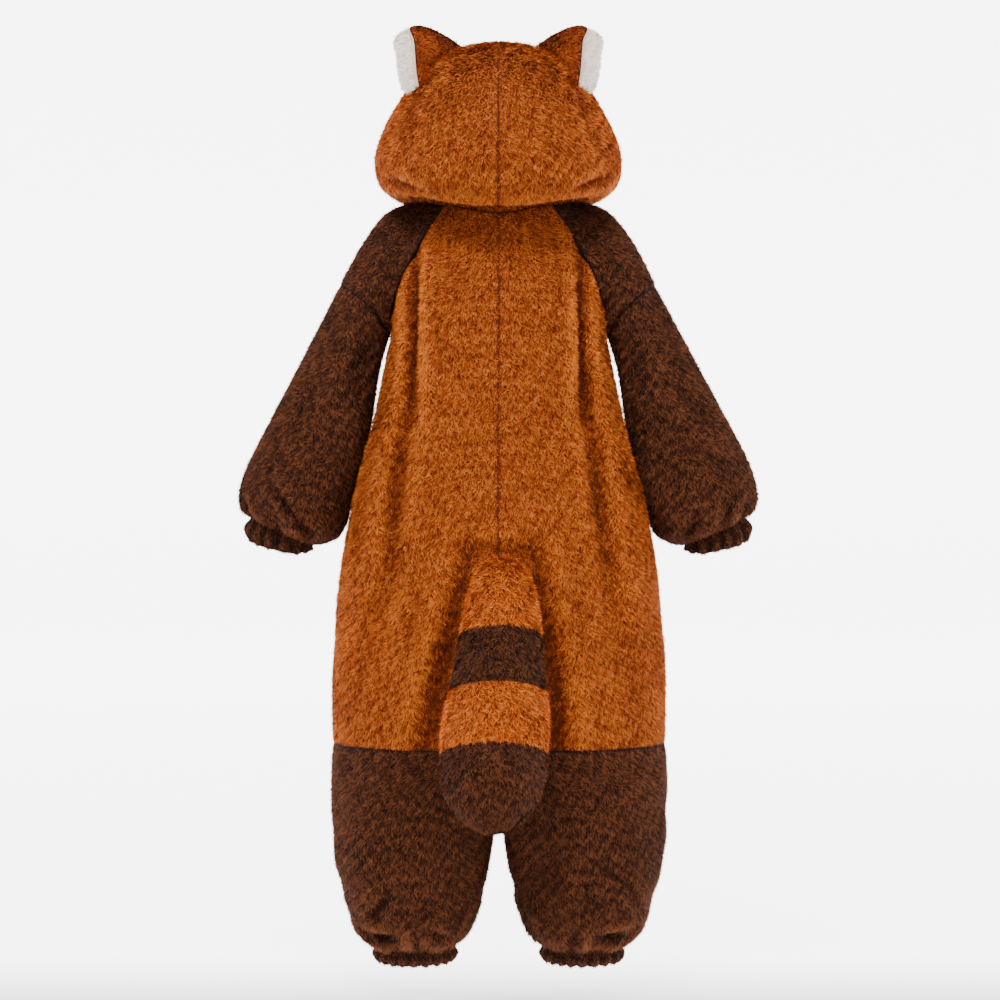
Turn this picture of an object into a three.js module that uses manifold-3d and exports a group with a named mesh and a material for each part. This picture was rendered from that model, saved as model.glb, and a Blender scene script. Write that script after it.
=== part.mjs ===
// A child's hooded animal onesie in plush fleece, filled out as if it were worn: raglan body in rust,
// sleeves and lower legs in brown, a slouchy hood with two ears, and a stuffed ringed tail on the back.
// Millimetres, +Z up. The front faces -Y, the wearer's left is +X. The origin is the middle of the neck
// opening at shoulder height, where the wearer's shoulders carry the garment.
import * as THREE from "three";
import { mergeVertices } from "three/addons/utils/BufferGeometryUtils.js";
import Module from "manifold-3d";

const wasm = await Module();
wasm.setup();

// Driving dimensions
const PLUSH = 5; // wall of the fleece with its pile
const CUFF_WALL = 3.2; // the pile is crushed inside an elastic cuff
const SEAM_GAP = 0.36; // between neighbouring pieces
const UNDERARM = { x: 130, z: -158 };
const BAND_TALL = 10; // neck band
const LEG_TOP = -640; // seam between the rust body and the brown legs
const HEM = -903.5; // lower edge of the leg cuffs
const ROUND = 0.6; // Bezier handle of a quarter section, a little fuller than a circle's
const HALF_LOOP = 4 / 3; // Bezier handle of a half loop

const rust = { color: 0xb0591c, roughness: 0.9, metalness: 0 };
const brown = { color: 0x55301e, roughness: 0.9, metalness: 0 };
const white = { color: 0xe2dad2, roughness: 0.9, metalness: 0 };
const buttonBrown = { color: 0x3b2115, roughness: 0.4, metalness: 0 };

// Curves and tables

const point = (x, y, z) => new THREE.Vector3(x, y, z);
const lerp = THREE.MathUtils.lerp;
const smooth = THREE.MathUtils.smoothstep;
const range = (n) => Array.from({ length: n + 1 }, (_, i) => i / n);
const bell = (distance, width) => Math.exp(-((distance / width) ** 2));

// A point on the cubic Bezier from a to d, leaving along the handle fromA and arriving from fromD.
function bezier(a, fromA, d, fromD, s) {
  const r = 1 - s;
  const b = a.clone().add(fromA);
  const c = d.clone().add(fromD);
  return point(0, 0, 0)
    .addScaledVector(a, r * r * r)
    .addScaledVector(b, 3 * r * r * s)
    .addScaledVector(c, 3 * r * s * s)
    .addScaledVector(d, s * s * s);
}

// One column of a table of rows, as a smooth curve through its values. The first column is the place.
function track(table, column, at) {
  const key = Object.keys(table[0])[0];
  const rising = table[1][key] > table[0][key] ? 1 : -1;
  let i = 0;
  while (i < table.length - 2 && rising * (at - table[i + 1][key]) > 0) i++;
  const [p, q] = [table[i], table[i + 1]];
  const step = q[key] - p[key];
  const slope = (j) => {
    const low = table[Math.max(j - 1, 0)];
    const high = table[Math.min(j + 1, table.length - 1)];
    return (high[column] - low[column]) / (high[key] - low[key]);
  };
  const t = THREE.MathUtils.clamp((at - p[key]) / step, 0, 1);
  const h = t * t * (3 - 2 * t);
  return (
    lerp(p[column], q[column], h) +
    step * slope(i) * t * (1 - t) ** 2 -
    step * slope(i + 1) * t * t * (1 - t)
  );
}

// Body: a row for each section, from the neckline to the underarm by q, then down by z

// The raglan seams run from the neckline to the underarm. "centre" is the body's middle at the same level.
// "along" is the direction in which a section of the body reaches the seam, "away" the one in which the
// sleeve leaves it, and "reach" how far it keeps to that.
const BACK_SEAM = [
  { q: 0, x: 64, y: 43, z: -2, centreY: 68, centreZ: -14, reach: 24 },
  { q: 0.25, x: 89, y: 60, z: -44, centreY: 80, centreZ: -48, reach: 34 },
  { q: 0.5, x: 112, y: 57, z: -88, centreY: 88, centreZ: -84, reach: 44 },
  { q: 0.75, x: 126, y: 37, z: -126, centreY: 92, centreZ: -119, reach: 52 },
  { q: 1, x: UNDERARM.x, y: 0, z: UNDERARM.z, centreY: 93, centreZ: -154, reach: 78 },
];
const BACK_LEADS = [
  { q: 0, alongX: 0.7, alongY: -0.7, alongZ: 0.1, awayX: 0.7, awayY: -0.7, awayZ: 0.1 },
  { q: 0.25, alongX: 0.86, alongY: -0.5, alongZ: 0.1, awayX: 0.8, awayY: -0.3, awayZ: 0.5 },
  { q: 0.5, alongX: 0.84, alongY: -0.54, alongZ: 0, awayX: 0.62, awayY: 0.4, awayZ: 0.66 },
  { q: 0.75, alongX: 0.45, alongY: -0.88, alongZ: 0, awayX: 0.3, awayY: 0.8, awayZ: 0.52 },
  { q: 1, alongX: 0, alongY: -1, alongZ: 0, awayX: 0.08, awayY: 0.9, awayZ: 0.42 },
];
const FRONT_SEAM = [
  { q: 0, x: 52, y: -52, z: -16, centreY: -68, centreZ: -34, reach: 28 },
  { q: 0.25, x: 82, y: -66, z: -54, centreY: -78, centreZ: -62, reach: 36 },
  { q: 0.5, x: 106, y: -58, z: -95, centreY: -85, centreZ: -93, reach: 44 },
  { q: 0.75, x: 122, y: -36, z: -130, centreY: -89, centreZ: -124, reach: 52 },
  { q: 1, x: UNDERARM.x, y: 0, z: UNDERARM.z, centreY: -90, centreZ: -154, reach: 78 },
];
const FRONT_LEADS = [
  { q: 0, alongX: 0.8, alongY: 0.6, alongZ: 0.2, awayX: 0.75, awayY: 0.6, awayZ: 0.25 },
  { q: 0.25, alongX: 0.88, alongY: 0.46, alongZ: 0.1, awayX: 0.8, awayY: 0.3, awayZ: 0.5 },
  { q: 0.5, alongX: 0.84, alongY: 0.54, alongZ: 0, awayX: 0.62, awayY: -0.4, awayZ: 0.66 },
  { q: 0.75, alongX: 0.45, alongY: 0.88, alongZ: 0, awayX: 0.3, awayY: -0.8, awayZ: 0.52 },
  { q: 1, alongX: 0, alongY: 1, alongZ: 0, awayX: 0.08, awayY: -0.9, awayZ: 0.42 },
];
const joinRows = (table, more) => table.map((row, i) => ({ ...row, ...more[i] }));
const RAGLAN_BACK = joinRows(BACK_SEAM, BACK_LEADS);
const RAGLAN_FRONT = joinRows(FRONT_SEAM, FRONT_LEADS);
const SHOULDER = [
  { q: 0, x: 84, z: 6 },
  { q: 0.25, x: 111, z: 3 },
  { q: 0.5, x: 138, z: -12 },
  { q: 0.75, x: 164, z: -47 },
  { q: 1, x: 189, z: -94 },
];
const BODY = [
  { z: UNDERARM.z, side: UNDERARM.x, back: 93, front: 90, full: 0.7 },
  { z: -200, side: 138.5, back: 94, front: 92, full: 0.68 },
  { z: -265, side: 150.5, back: 95, front: 94, full: 0.66 },
  { z: -340, side: 169, back: 97, front: 97, full: 0.64 },
  { z: -375, side: 178, back: 98.5, front: 99, full: 0.62 },
  { z: -436, side: 190, back: 102, front: 102, full: 0.6 },
  { z: -500, side: 197, back: 107, front: 105, full: 0.6 },
  { z: -580, side: 201, back: 114, front: 108, full: 0.6 },
  { z: LEG_TOP, side: 200, back: 117, front: 109, full: ROUND },
];
// Drape folds, at a share of the section's arc from the centre seam to the side
const BODY_FOLDS = [
  { at: 0.455, width: 0.062, deep: 8.5, top: -120, bottom: -610 },
  { at: 0.6, width: 0.075, deep: -3.5, top: -130, bottom: -560 },
  { at: 0.2, width: 0.06, deep: 2.2, top: -330, bottom: -640 },
];

function bodyPoint(raglan, level, s) {
  const face = Math.sign(raglan[0].centreY);
  if (level >= 0) {
    const at = (column) => track(raglan, column, level);
    const centre = point(0, at("centreY"), at("centreZ"));
    const seam = point(at("x"), at("y"), at("z"));
    const along = point(at("alongX"), at("alongY"), at("alongZ")).normalize();
    const flat = lerp(0.36, BODY[0].full, smooth(level, 0.3, 1));
    const across = point(flat * seam.x, 0, 0);
    const arrive = flat * lerp(seam.x, Math.abs(centre.y), smooth(level, 0.3, 1));
    return bezier(centre, across, seam, along.multiplyScalar(-arrive), s);
  }
  const z = level;
  const side = track(BODY, "side", z);
  const deep = face * track(BODY, face > 0 ? "back" : "front", z);
  const full = track(BODY, "full", z);
  return bezier(
    point(0, deep, z),
    point(full * side, 0, 0),
    point(side, 0, z),
    point(0, full * deep, 0),
    s,
  );
}

// How far a fold sinks into the body at a place on it.
function bodyFold(z, s) {
  return BODY_FOLDS.reduce((sum, f) => {
    const ends = smooth(-z, -f.top, -f.top + 110) * (1 - smooth(-z, -f.bottom - 110, -f.bottom));
    return sum + f.deep * ends * bell(s - f.at, f.width);
  }, 0);
}

// Sections: the neckline first, the underarm where q is 1, the leg seam last
const YOKE_ROWS = [0, 0.2, 0.4, 0.6, 0.8, 1];
const BODY_ROWS = [-200, -250, -300, -350, -400, -455, -515, -578, LEG_TOP];
const BODY_COLUMNS = [0, 0.13, 0.24, 0.34, 0.4, 0.455, 0.51, 0.58, 0.67, 0.78, 0.89, 1];

function bodySkin(raglan) {
  return [...YOKE_ROWS, ...BODY_ROWS].map((level) =>
    BODY_COLUMNS.map((s) => {
      const p = bodyPoint(raglan, level, s);
      const out = point(p.x / 200, p.y / 100, 0).normalize();
      return p.addScaledVector(out, -bodyFold(p.z, s));
    }),
  );
}

// Sleeves: each section is two Bezier curves, over the back and over the front

// A row for each section of the lower sleeve, from the cap seam to the cuff. "inner" lies by the body,
// "outer" on the far side. "lean" shifts the section forward.
const SLEEVE = [
  { row: 0, outerX: 189, outerZ: -94, innerX: UNDERARM.x, innerZ: UNDERARM.z, deep: 50, lean: 0 },
  { row: 1, outerX: 213, outerZ: -140, innerX: 141.5, innerZ: -190, deep: 53, lean: 2 },
  { row: 2, outerX: 235, outerZ: -184, innerX: 148, innerZ: -220, deep: 56, lean: 4 },
  { row: 3, outerX: 263, outerZ: -238, innerX: 158.5, innerZ: -276, deep: 60, lean: 8 },
  { row: 4, outerX: 292, outerZ: -293, innerX: 173.5, innerZ: -334, deep: 65, lean: 12 },
  { row: 5, outerX: 309, outerZ: -327, innerX: 182.5, innerZ: -362, deep: 66, lean: 15 },
  { row: 6, outerX: 313, outerZ: -347, innerX: 187.5, innerZ: -381, deep: 64, lean: 17 },
  { row: 7, outerX: 309.5, outerZ: -362, innerX: 197, innerZ: -396, deep: 58, lean: 18 },
  { row: 8, outerX: 303, outerZ: -370, innerX: 212, innerZ: -404, deep: 49, lean: 18 },
  { row: 9, outerX: 299, outerZ: -374, innerX: 225, innerZ: -407, deep: 40, lean: 18 },
];
const SLEEVE_CUFF = [
  { row: 0, outerX: 299, outerZ: -374, innerX: 225, innerZ: -407, deep: 40, lean: 18 },
  { row: 1, outerX: 306, outerZ: -384, innerX: 225, innerZ: -411, deep: 43, lean: 18 },
  { row: 2, outerX: 304, outerZ: -395, innerX: 228, innerZ: -413, deep: 41, lean: 18 },
];
const CUFF_DIP = 8; // how much lower the cuff's end hangs behind
const CAP_COLUMNS = 13; // from the inner side to the outer, over the back and again over the front
const SLEEVE_RIBS = 14;
const RIB_STEPS = 3;

// A point on the shoulder yoke of the sleeve. u runs from the back raglan seam, 0, over the shoulder, 1,
// to the front one, 2.
function yokePoint(q, u) {
  const raglan = u <= 1 ? RAGLAN_BACK : RAGLAN_FRONT;
  const at = (column) => track(raglan, column, q);
  const seam = point(at("x"), at("y"), at("z"));
  const away = point(at("awayX"), at("awayY"), at("awayZ")).setLength(at("reach"));
  const top = point(track(SHOULDER, "x", q), 0, track(SHOULDER, "z", q));
  const over = lerp(raglan[0].reach, raglan.at(-1).reach * 0.93, smooth(q, 0, 1));
  const face = u <= 1 ? 1 : -1;
  return bezier(seam, away, top, point(0, face * over, 0), u <= 1 ? u : 2 - u);
}

// A point on a closed section of the lower sleeve or its cuff. u runs from the inner side, 0, over the
// back to the outer side, 1, and over the front back to the inner side, 2.
function sleevePoint(table, row, u) {
  const at = (column) => track(table, column, row);
  const lean = -at("lean");
  const inner = point(at("innerX"), lean, at("innerZ"));
  const outer = point(at("outerX"), lean, at("outerZ"));
  const face = u <= 1 ? 1 : -1;
  const reach = face * HALF_LOOP * at("deep");
  const last = RAGLAN_BACK.at(-1);
  const cap = table === SLEEVE ? 1 - smooth(row, 0, 1) : 0;
  const leave = point(0, reach, 0);
  const away = point(last.awayX, face * last.awayY, last.awayZ).setLength(last.reach);
  const over = lerp(reach, face * last.reach * 0.93, cap);
  return bezier(inner, leave.lerp(away, cap), outer, point(0, over, 0), u <= 1 ? u : 2 - u);
}

// Legs: each section is four quarter curves about a split point, full at the side and flat at the crotch

const LEG = [
  { z: LEG_TOP, outer: 200, split: 0.2, inner: 0.2, back: 117, front: 109 },
  { z: -662, outer: 201, split: 34, inner: 1.5, back: 115, front: 108 },
  { z: -690, outer: 201.5, split: 66, inner: 3, back: 111, front: 106 },
  { z: -730, outer: 200.5, split: 90, inner: 4.5, back: 105, front: 103 },
  { z: -770, outer: 197.5, split: 100, inner: 8, back: 100, front: 100 },
  { z: -805, outer: 190.5, split: 101, inner: 14, back: 95, front: 95 },
  { z: -838, outer: 180.5, split: 101, inner: 21, back: 87, front: 87 },
  { z: -862, outer: 170.5, split: 100, inner: 29.5, back: 75, front: 75 },
  { z: -876, outer: 158, split: 100, inner: 42, back: 61, front: 61 },
  { z: -883, outer: 149, split: 100, inner: 51, back: 48, front: 48 },
  { z: -888, outer: 148, split: 100, inner: 52, back: 46, front: 46 },
];
const LEG_CUFF = [
  { z: -888, outer: 148, split: 100, inner: 52, back: 46, front: 46 },
  { z: -895, outer: 150.5, split: 100, inner: 49.5, back: 48.5, front: 48.5 },
  { z: HEM, outer: 145, split: 100, inner: 55, back: 43.5, front: 43.5 },
];
const LEG_COLUMNS = 16; // over the back and again over the front
const LEG_RIBS = 20;

// u runs from the middle of the back, 0, to the side, 1, the front, 2, the inner side, 3, and on to 4.
function legPoint(table, z, u) {
  const at = (column) => track(table, column, z);
  const quarter = Math.min(Math.floor(u), 3);
  const s = u - quarter;
  const split = at("split");
  const back = point(split, at("back"), z);
  const front = point(split, -at("front"), z);
  const side = point(at("outer"), 0, z);
  const inside = point(at("inner"), 0, z);
  const ends = [back, side, front, inside, back];
  const [a, d] = [ends[quarter], ends[quarter + 1]];
  const width = point(ROUND * (d.x - a.x), 0, 0);
  const depth = point(0, ROUND * (d.y - a.y), 0);
  return quarter % 2 === 0
    ? bezier(a, width, d, depth.negate(), s)
    : bezier(a, depth, d, width.negate(), s);
}

// Hood: a row for each section, from the crown to the neck seam. "edge" is how far the face opening's edge
// lies from the middle, and 0 where the section is closed at the front.

const HOOD = [
  { row: 0, side: 0, sideZ: 191, back: 46, backZ: 190, front: 40, frontZ: 187, edge: 0 },
  { row: 1, side: 42, sideZ: 188, back: 78, backZ: 179, front: 64, frontZ: 179, edge: 0 },
  { row: 2, side: 70, sideZ: 176, back: 98, backZ: 161, front: 78, frontZ: 166, edge: 0 },
  { row: 3, side: 91, sideZ: 159, back: 112, backZ: 139, front: 86, frontZ: 152, edge: 0 },
  { row: 4, side: 107, sideZ: 140, back: 120, backZ: 117, front: 89, frontZ: 141, edge: 42 },
  { row: 5, side: 119, sideZ: 123, back: 125, backZ: 96, front: 91, frontZ: 119, edge: 62 },
  { row: 6, side: 132, sideZ: 100, back: 129, backZ: 73, front: 93, frontZ: 88, edge: 73 },
  { row: 7, side: 142, sideZ: 76, back: 131, backZ: 51, front: 94, frontZ: 62, edge: 81 },
  { row: 8, side: 148, sideZ: 52, back: 131, backZ: 30, front: 94, frontZ: 36, edge: 83 },
  { row: 9, side: 145, sideZ: 31, back: 125, backZ: 11, front: 92, frontZ: 11, edge: 79 },
  { row: 10, side: 134, sideZ: 17, back: 114, backZ: -3, front: 88, frontZ: -8, edge: 69 },
  { row: 11, side: 117, sideZ: 11, back: 99, backZ: -9, front: 82, frontZ: -20, edge: 52 },
  { row: 12, side: 99, sideZ: 12, back: 83, backZ: -9, front: 75, frontZ: -26, edge: 35 },
];
const HOOD_COLUMNS = 13;
const HOOD_SQUARE = 2.15; // exponent of the hood's sections
const HOOD_FRONT = 3.78; // where the hood's front edge stands on the neckline

// The neckline as the top edges of the pieces around it. u runs from the centre back, 0, to the back raglan
// seam, 1, the shoulder, 2, the front raglan seam, 3, and the centre front, 4.
function neckline(u) {
  if (u <= 1) return bodyPoint(RAGLAN_BACK, 0, u);
  if (u <= 3) return yokePoint(0, u - 1);
  return bodyPoint(RAGLAN_FRONT, 0, 4 - u);
}

function bandTop(u, lift = 0) {
  const p = neckline(u);
  return point(p.x * 0.975, p.y * 0.975, p.z + BAND_TALL + lift);
}

function hoodPoint(row, share) {
  if (row > HOOD.at(-1).row) return bandTop(share * HOOD_FRONT, 4 * SEAM_GAP);
  const at = (column) => track(HOOD, column, row);
  const side = at("side");
  const edge = row <= 3 ? 0 : at("edge");
  const last = side > 0 ? -Math.acos((edge / side) ** (HOOD_SQUARE / 2)) : -Math.PI / 2;
  const angle = lerp(Math.PI / 2, last, share);
  const across = Math.abs(Math.cos(angle)) < 1e-9 ? 0 : Math.cos(angle) ** (2 / HOOD_SQUARE);
  const along = Math.abs(Math.sin(angle)) ** (2 / HOOD_SQUARE);
  const behind = angle > 0;
  const endZ = at(behind ? "backZ" : "frontZ");
  const z = lerp(at("sideZ"), endZ, Math.sin(angle) ** 2);
  return point(side * across, behind ? at("back") * along : -at("front") * along, z);
}

// Skins and walls

// Normals of several skins that are sewn together: points at one place share theirs.
function sewNormals(skins) {
  const sums = new Map();
  const key = (p) => [p.x, p.y, p.z].map((c) => Math.round(c * 50)).join();
  for (const { rows, closed } of skins) {
    for (let i = 0; i + 1 < rows.length; i++) {
      const count = rows[i].length;
      for (let j = 0; j < (closed ? count : count - 1); j++) {
        const [a, b] = [rows[i][j], rows[i][(j + 1) % count]];
        const [c, d] = [rows[i + 1][(j + 1) % count], rows[i + 1][j]];
        const n = d.clone().sub(b).cross(c.clone().sub(a));
        for (const p of [a, b, c, d]) {
          const k = key(p);
          if (!sums.has(k)) sums.set(k, point(0, 0, 0));
          sums.get(k).add(n);
        }
      }
    }
  }
  for (const skin of skins) {
    skin.normals = skin.rows.map((row) => row.map((p) => sums.get(key(p)).clone().normalize()));
  }
}

// A closed solid from an outer and an inner skin of the same size.
function solidBetween(outer, inner, closed) {
  const [high, wide] = [outer.length, outer[0].length];
  const positions = [...outer.flat(), ...inner.flat()].flatMap((p) => [p.x, p.y, p.z]);
  const faces = [];
  const out = (i, j) => i * wide + (j % wide);
  const inn = (i, j) => high * wide + out(i, j);
  const quad = (a, b, c, d) => faces.push(a, b, c, a, c, d);
  const spans = closed ? wide : wide - 1;
  for (let i = 0; i + 1 < high; i++) {
    for (let j = 0; j < spans; j++) {
      quad(out(i, j), out(i + 1, j), out(i + 1, j + 1), out(i, j + 1));
      quad(inn(i, j), inn(i, j + 1), inn(i + 1, j + 1), inn(i + 1, j));
    }
  }
  for (let j = 0; j < spans; j++) {
    quad(out(0, j), out(0, j + 1), inn(0, j + 1), inn(0, j));
    quad(out(high - 1, j), inn(high - 1, j), inn(high - 1, j + 1), out(high - 1, j + 1));
  }
  if (!closed) {
    for (let i = 0; i + 1 < high; i++) {
      quad(out(i, 0), inn(i, 0), inn(i + 1, 0), out(i + 1, 0));
      quad(out(i, wide - 1), out(i + 1, wide - 1), inn(i + 1, wide - 1), inn(i, wide - 1));
    }
  }
  const geometry = new THREE.BufferGeometry();
  geometry.setAttribute("position", new THREE.Float32BufferAttribute(positions, 3));
  return geometry.setIndex(faces);
}

// The skin with its borders drawn in by half the seam gap.
function trimmed(rows, closed) {
  const half = SEAM_GAP / 2;
  const moved = rows.map((row) => row.map((p) => p.clone()));
  const draw = (p, from, to) => p.addScaledVector(to.clone().sub(from).setLength(half), 1);
  const last = rows.length - 1;
  rows[0].forEach((p, j) => draw(moved[0][j], p, rows[1][j]));
  rows[last].forEach((p, j) => draw(moved[last][j], p, rows[last - 1][j]));
  if (!closed) {
    rows.forEach((row, i) => {
      const end = row.length - 1;
      draw(moved[i][0], row[0], row[1]);
      draw(moved[i][end], row[end], row[end - 1]);
    });
  }
  return moved;
}

// A wall of cloth under a skin. raise(i, j) lifts the outer face alone.
function wall(skin, thick, raise = () => 0) {
  const rows = trimmed(skin.rows, skin.closed);
  const shifted = (by) =>
    rows.map((row, i) =>
      row.map((p, j) => p.clone().addScaledVector(skin.normals[i][j], by(i, j))),
    );
  return solidBetween(shifted(raise), shifted(() => -thick), skin.closed);
}

const mirrored = (rows) => rows.map((row) => row.map((p) => point(-p.x, p.y, p.z)).reverse());

// Builds the left skin's mirror image with the same normals, for the right side.
function mirrorSkin(skin) {
  return { rows: mirrored(skin.rows), normals: mirrored(skin.normals), closed: skin.closed };
}

const onesie = new THREE.Group();

function piece(name, geometry, finish) {
  const flat = mergeVertices(geometry, 1e-4);
  flat.computeVertexNormals();
  const mesh = new THREE.Mesh(flat, new THREE.MeshStandardMaterial(finish));
  mesh.name = name;
  onesie.add(mesh);
  return mesh;
}

// Adds a piece of the left side and its mirror image.
function pair(name, skin, finish, thick = PLUSH, raise) {
  piece(name + "_left", wall(skin, thick, raise), finish);
  const count = skin.rows[0].length;
  const flipped = raise && ((i, j) => raise(i, count - 1 - j));
  piece(name + "_right", wall(mirrorSkin(skin), thick, flipped), finish);
}

// Body panels, shoulder yokes and lower sleeves are sewn to one skin

// Rows run downward. Seen from outside, columns run so that faces point out.
const backRows = bodySkin(RAGLAN_BACK);
const frontRows = bodySkin(RAGLAN_FRONT);
const around = (n) => range(2 * n).map((t) => 2 * t);
const yokeRows = YOKE_ROWS.map((q) => around(CAP_COLUMNS).map((u) => yokePoint(q, u)));
// Soft gathers where the sleeve runs into its cuff
const GATHERS = { sleeve: 9, leg: 10, deep: 4 };

function gather(p, middle, u, turn, count, share) {
  const wave = Math.cos((2 * Math.PI * count * u) / turn);
  const out = p.clone().sub(middle).normalize();
  return p.addScaledVector(out, GATHERS.deep * share * wave);
}

// One half of the lower sleeve, in columns from one side seam to the other
function sleeveHalf(from, to) {
  return SLEEVE.map(({ row, lean, outerX, outerZ, innerX, innerZ }) => {
    const middle = point((outerX + innerX) / 2, -lean, (outerZ + innerZ) / 2);
    const share = smooth(row, 4.5, 8) * (row < 9 ? 1 : 0.5);
    return range(CAP_COLUMNS).map((t) => {
      const u = lerp(from, to, t);
      return gather(sleevePoint(SLEEVE, row, u), middle, u, 2, GATHERS.sleeve, share);
    });
  });
}

const skinOf = (rows, closed = false) => ({ rows, closed });
const back = skinOf(backRows.map((row) => [...row].reverse()));
const front = skinOf(frontRows);
const yoke = skinOf(yokeRows.map((row) => [...row].reverse()));
const sleeveBack = skinOf(sleeveHalf(1, 0));
const sleeveFront = skinOf(sleeveHalf(2, 1));
const leftHalf = [back, front, yoke, sleeveBack, sleeveFront];
sewNormals([...leftHalf, ...leftHalf.map((skin) => skinOf(mirrored(skin.rows)))]);

// The underarm is a saddle, where the cloth faces down.
for (const skin of leftHalf) {
  skin.rows.forEach((row, i) =>
    row.forEach((p, j) => {
      const away = Math.hypot(p.x - UNDERARM.x, p.y, p.z - UNDERARM.z);
      if (away < 0.1) skin.normals[i][j].set(0, 0, -1);
    }),
  );
}
// At the level seam between body and legs the cloth hangs straight.
function hangStraight(skin, row) {
  skin.normals[row].forEach((n) => n.setZ(0).normalize());
}
hangStraight(back, back.rows.length - 1);
hangStraight(front, front.rows.length - 1);
pair("back", back, rust);
pair("front", front, rust);
pair("sleeve_yoke", yoke, brown);
pair("sleeve_back", sleeveBack, brown);
pair("sleeve_front", sleeveFront, brown);

// Lower legs, sewn to each other along the outer and the inner side
const LEG_ROWS = [LEG_TOP, -665, -700, -745, -790, -828, -858, -876, -888];
function legHalf(from, to) {
  return LEG_ROWS.map((z) => {
    const middle = point(track(LEG, "split", z), 0, z);
    const share = smooth(-z, 826, 876) * (z > -888 ? 1 : 0.4);
    return range(LEG_COLUMNS).map((t) => {
      const u = (lerp(from, to, t) + 4) % 4;
      return gather(legPoint(LEG, z, u), middle, u, 4, GATHERS.leg, share);
    });
  });
}
const legBack = skinOf(legHalf(1, -1));
const legFront = skinOf(legHalf(3, 1));
sewNormals([legBack, legFront]);
hangStraight(legBack, 0);
hangStraight(legFront, 0);
pair("leg_back", legBack, brown);
pair("leg_front", legFront, brown);

// Elastic cuffs, ribbed on the outside and plain inside
const ring = (n, turn) => range(n).slice(0, -1).map((t) => turn * t);
function cuffSkin(at, levels, turn, ribs) {
  const rows = levels.map((level) => ring(ribs * RIB_STEPS, turn).map((u) => at(level, u)));
  const skin = skinOf(rows.map((row) => [...row].reverse()), true);
  sewNormals([skin]);
  return skin;
}
const RIB_HIGH = 2.2;
const ribRaise = (count) => (i, j) => {
  const crest = (count - 1 - j) % RIB_STEPS === 1;
  return crest && i > 0 ? RIB_HIGH : 0;
};
const sleeveCuffPoint = (row, u) => {
  const p = sleevePoint(SLEEVE_CUFF, row, u);
  const behind = smooth(p.y + SLEEVE_CUFF[0].lean, 0, 40);
  return p.add(point(0, 0, -CUFF_DIP * smooth(row, 0, 2) * behind));
};
const sleeveCuff = cuffSkin(sleeveCuffPoint, [0, 0.7, 1.5, 2], 2, SLEEVE_RIBS);
pair("sleeve_cuff", sleeveCuff, brown, CUFF_WALL, ribRaise(SLEEVE_RIBS * RIB_STEPS));
const legCuff = cuffSkin((z, u) => legPoint(LEG_CUFF, z, u), [-888, -893, -899, HEM], 4, LEG_RIBS);
pair("leg_cuff", legCuff, brown, CUFF_WALL, ribRaise(LEG_RIBS * RIB_STEPS));

// Neck band, one strip from the centre front round the back to the centre front
const BAND_COLUMNS = 24;
const bandHalf = range(BAND_COLUMNS).map((t) => 4 * t * 0.995);
const bandRow = (at) => {
  const left = bandHalf.map(at);
  return [...mirrored([left])[0], ...left.slice(1)];
};
const bandLow = (u) => neckline(u).add(point(0, 0, SEAM_GAP));
const band = skinOf([bandRow((u) => bandTop(u)), bandRow(bandLow)].map((row) => row.reverse()));
sewNormals([band]);
piece("neck_band", wall(band, PLUSH - 1), rust);

// Hood, in two halves with a seam over the crown and down the back
const hoodRows = range(13).map((t) =>
  range(HOOD_COLUMNS).map((share) => hoodPoint(Math.round(t * 13), share)),
);
const hood = skinOf(hoodRows.map((row) => [...row].reverse()));
const hoodRight = skinOf(mirrored(hood.rows));
sewNormals([hood, hoodRight]);
hood.normals[0].forEach((n) => n.set(0, 0, 1));
pair("hood", hood, rust);

// Ears and tail are stuffed, so they are solid. Each is cut to fit the cloth that it is sewn on.

const closedMesh = (geometry) => {
  const g = mergeVertices(geometry, 1e-4);
  return new wasm.Manifold(
    new wasm.Mesh({
      numProp: 3,
      vertProperties: new Float32Array(g.attributes.position.array),
      triVerts: new Uint32Array(g.index.array),
    }),
  );
};

function geometryOf(solid) {
  const mesh = solid.getMesh();
  const geometry = new THREE.BufferGeometry();
  geometry.setAttribute("position", new THREE.BufferAttribute(mesh.vertProperties, 3));
  return geometry.setIndex(new THREE.BufferAttribute(mesh.triVerts, 1));
}

// A thick slab from just outside a skin to well inside it, to cut away with.
function cutter(skin, deep) {
  const shifted = (by) =>
    skin.rows.map((row, i) => row.map((p, j) => p.clone().addScaledVector(skin.normals[i][j], by)));
  return closedMesh(solidBetween(shifted(SEAM_GAP), shifted(-deep), skin.closed));
}

// Tail
const TAIL = { topY: 115, topZ: -420, lean: 20, sway: 10 };
const TAIL_SHAPE = [
  { s: 0, r: 7 },
  { s: 6, r: 20 },
  { s: 17, r: 30 },
  { s: 33, r: 37 },
  { s: 57, r: 42 },
  { s: 90, r: 46.5 },
  { s: 128, r: 51.5 },
  { s: 157, r: 55.5 },
  { s: 196, r: 59.5 },
  { s: 230, r: 59.8 },
  { s: 254, r: 58 },
  { s: 272, r: 53 },
  { s: 288, r: 45 },
  { s: 300, r: 35 },
  { s: 309, r: 22 },
  { s: 315, r: 8 },
];
const TAIL_PIECES = [
  { name: "tail_root", from: 0, to: 90, steps: 5, finish: rust },
  { name: "tail_ring", from: 90, to: 157, steps: 3, finish: brown },
  { name: "tail_middle", from: 157, to: 226, steps: 3, finish: rust },
  { name: "tail_tip", from: 226, to: 315, steps: 6, finish: brown },
];
const TAIL_SIDES = 20;

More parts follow.
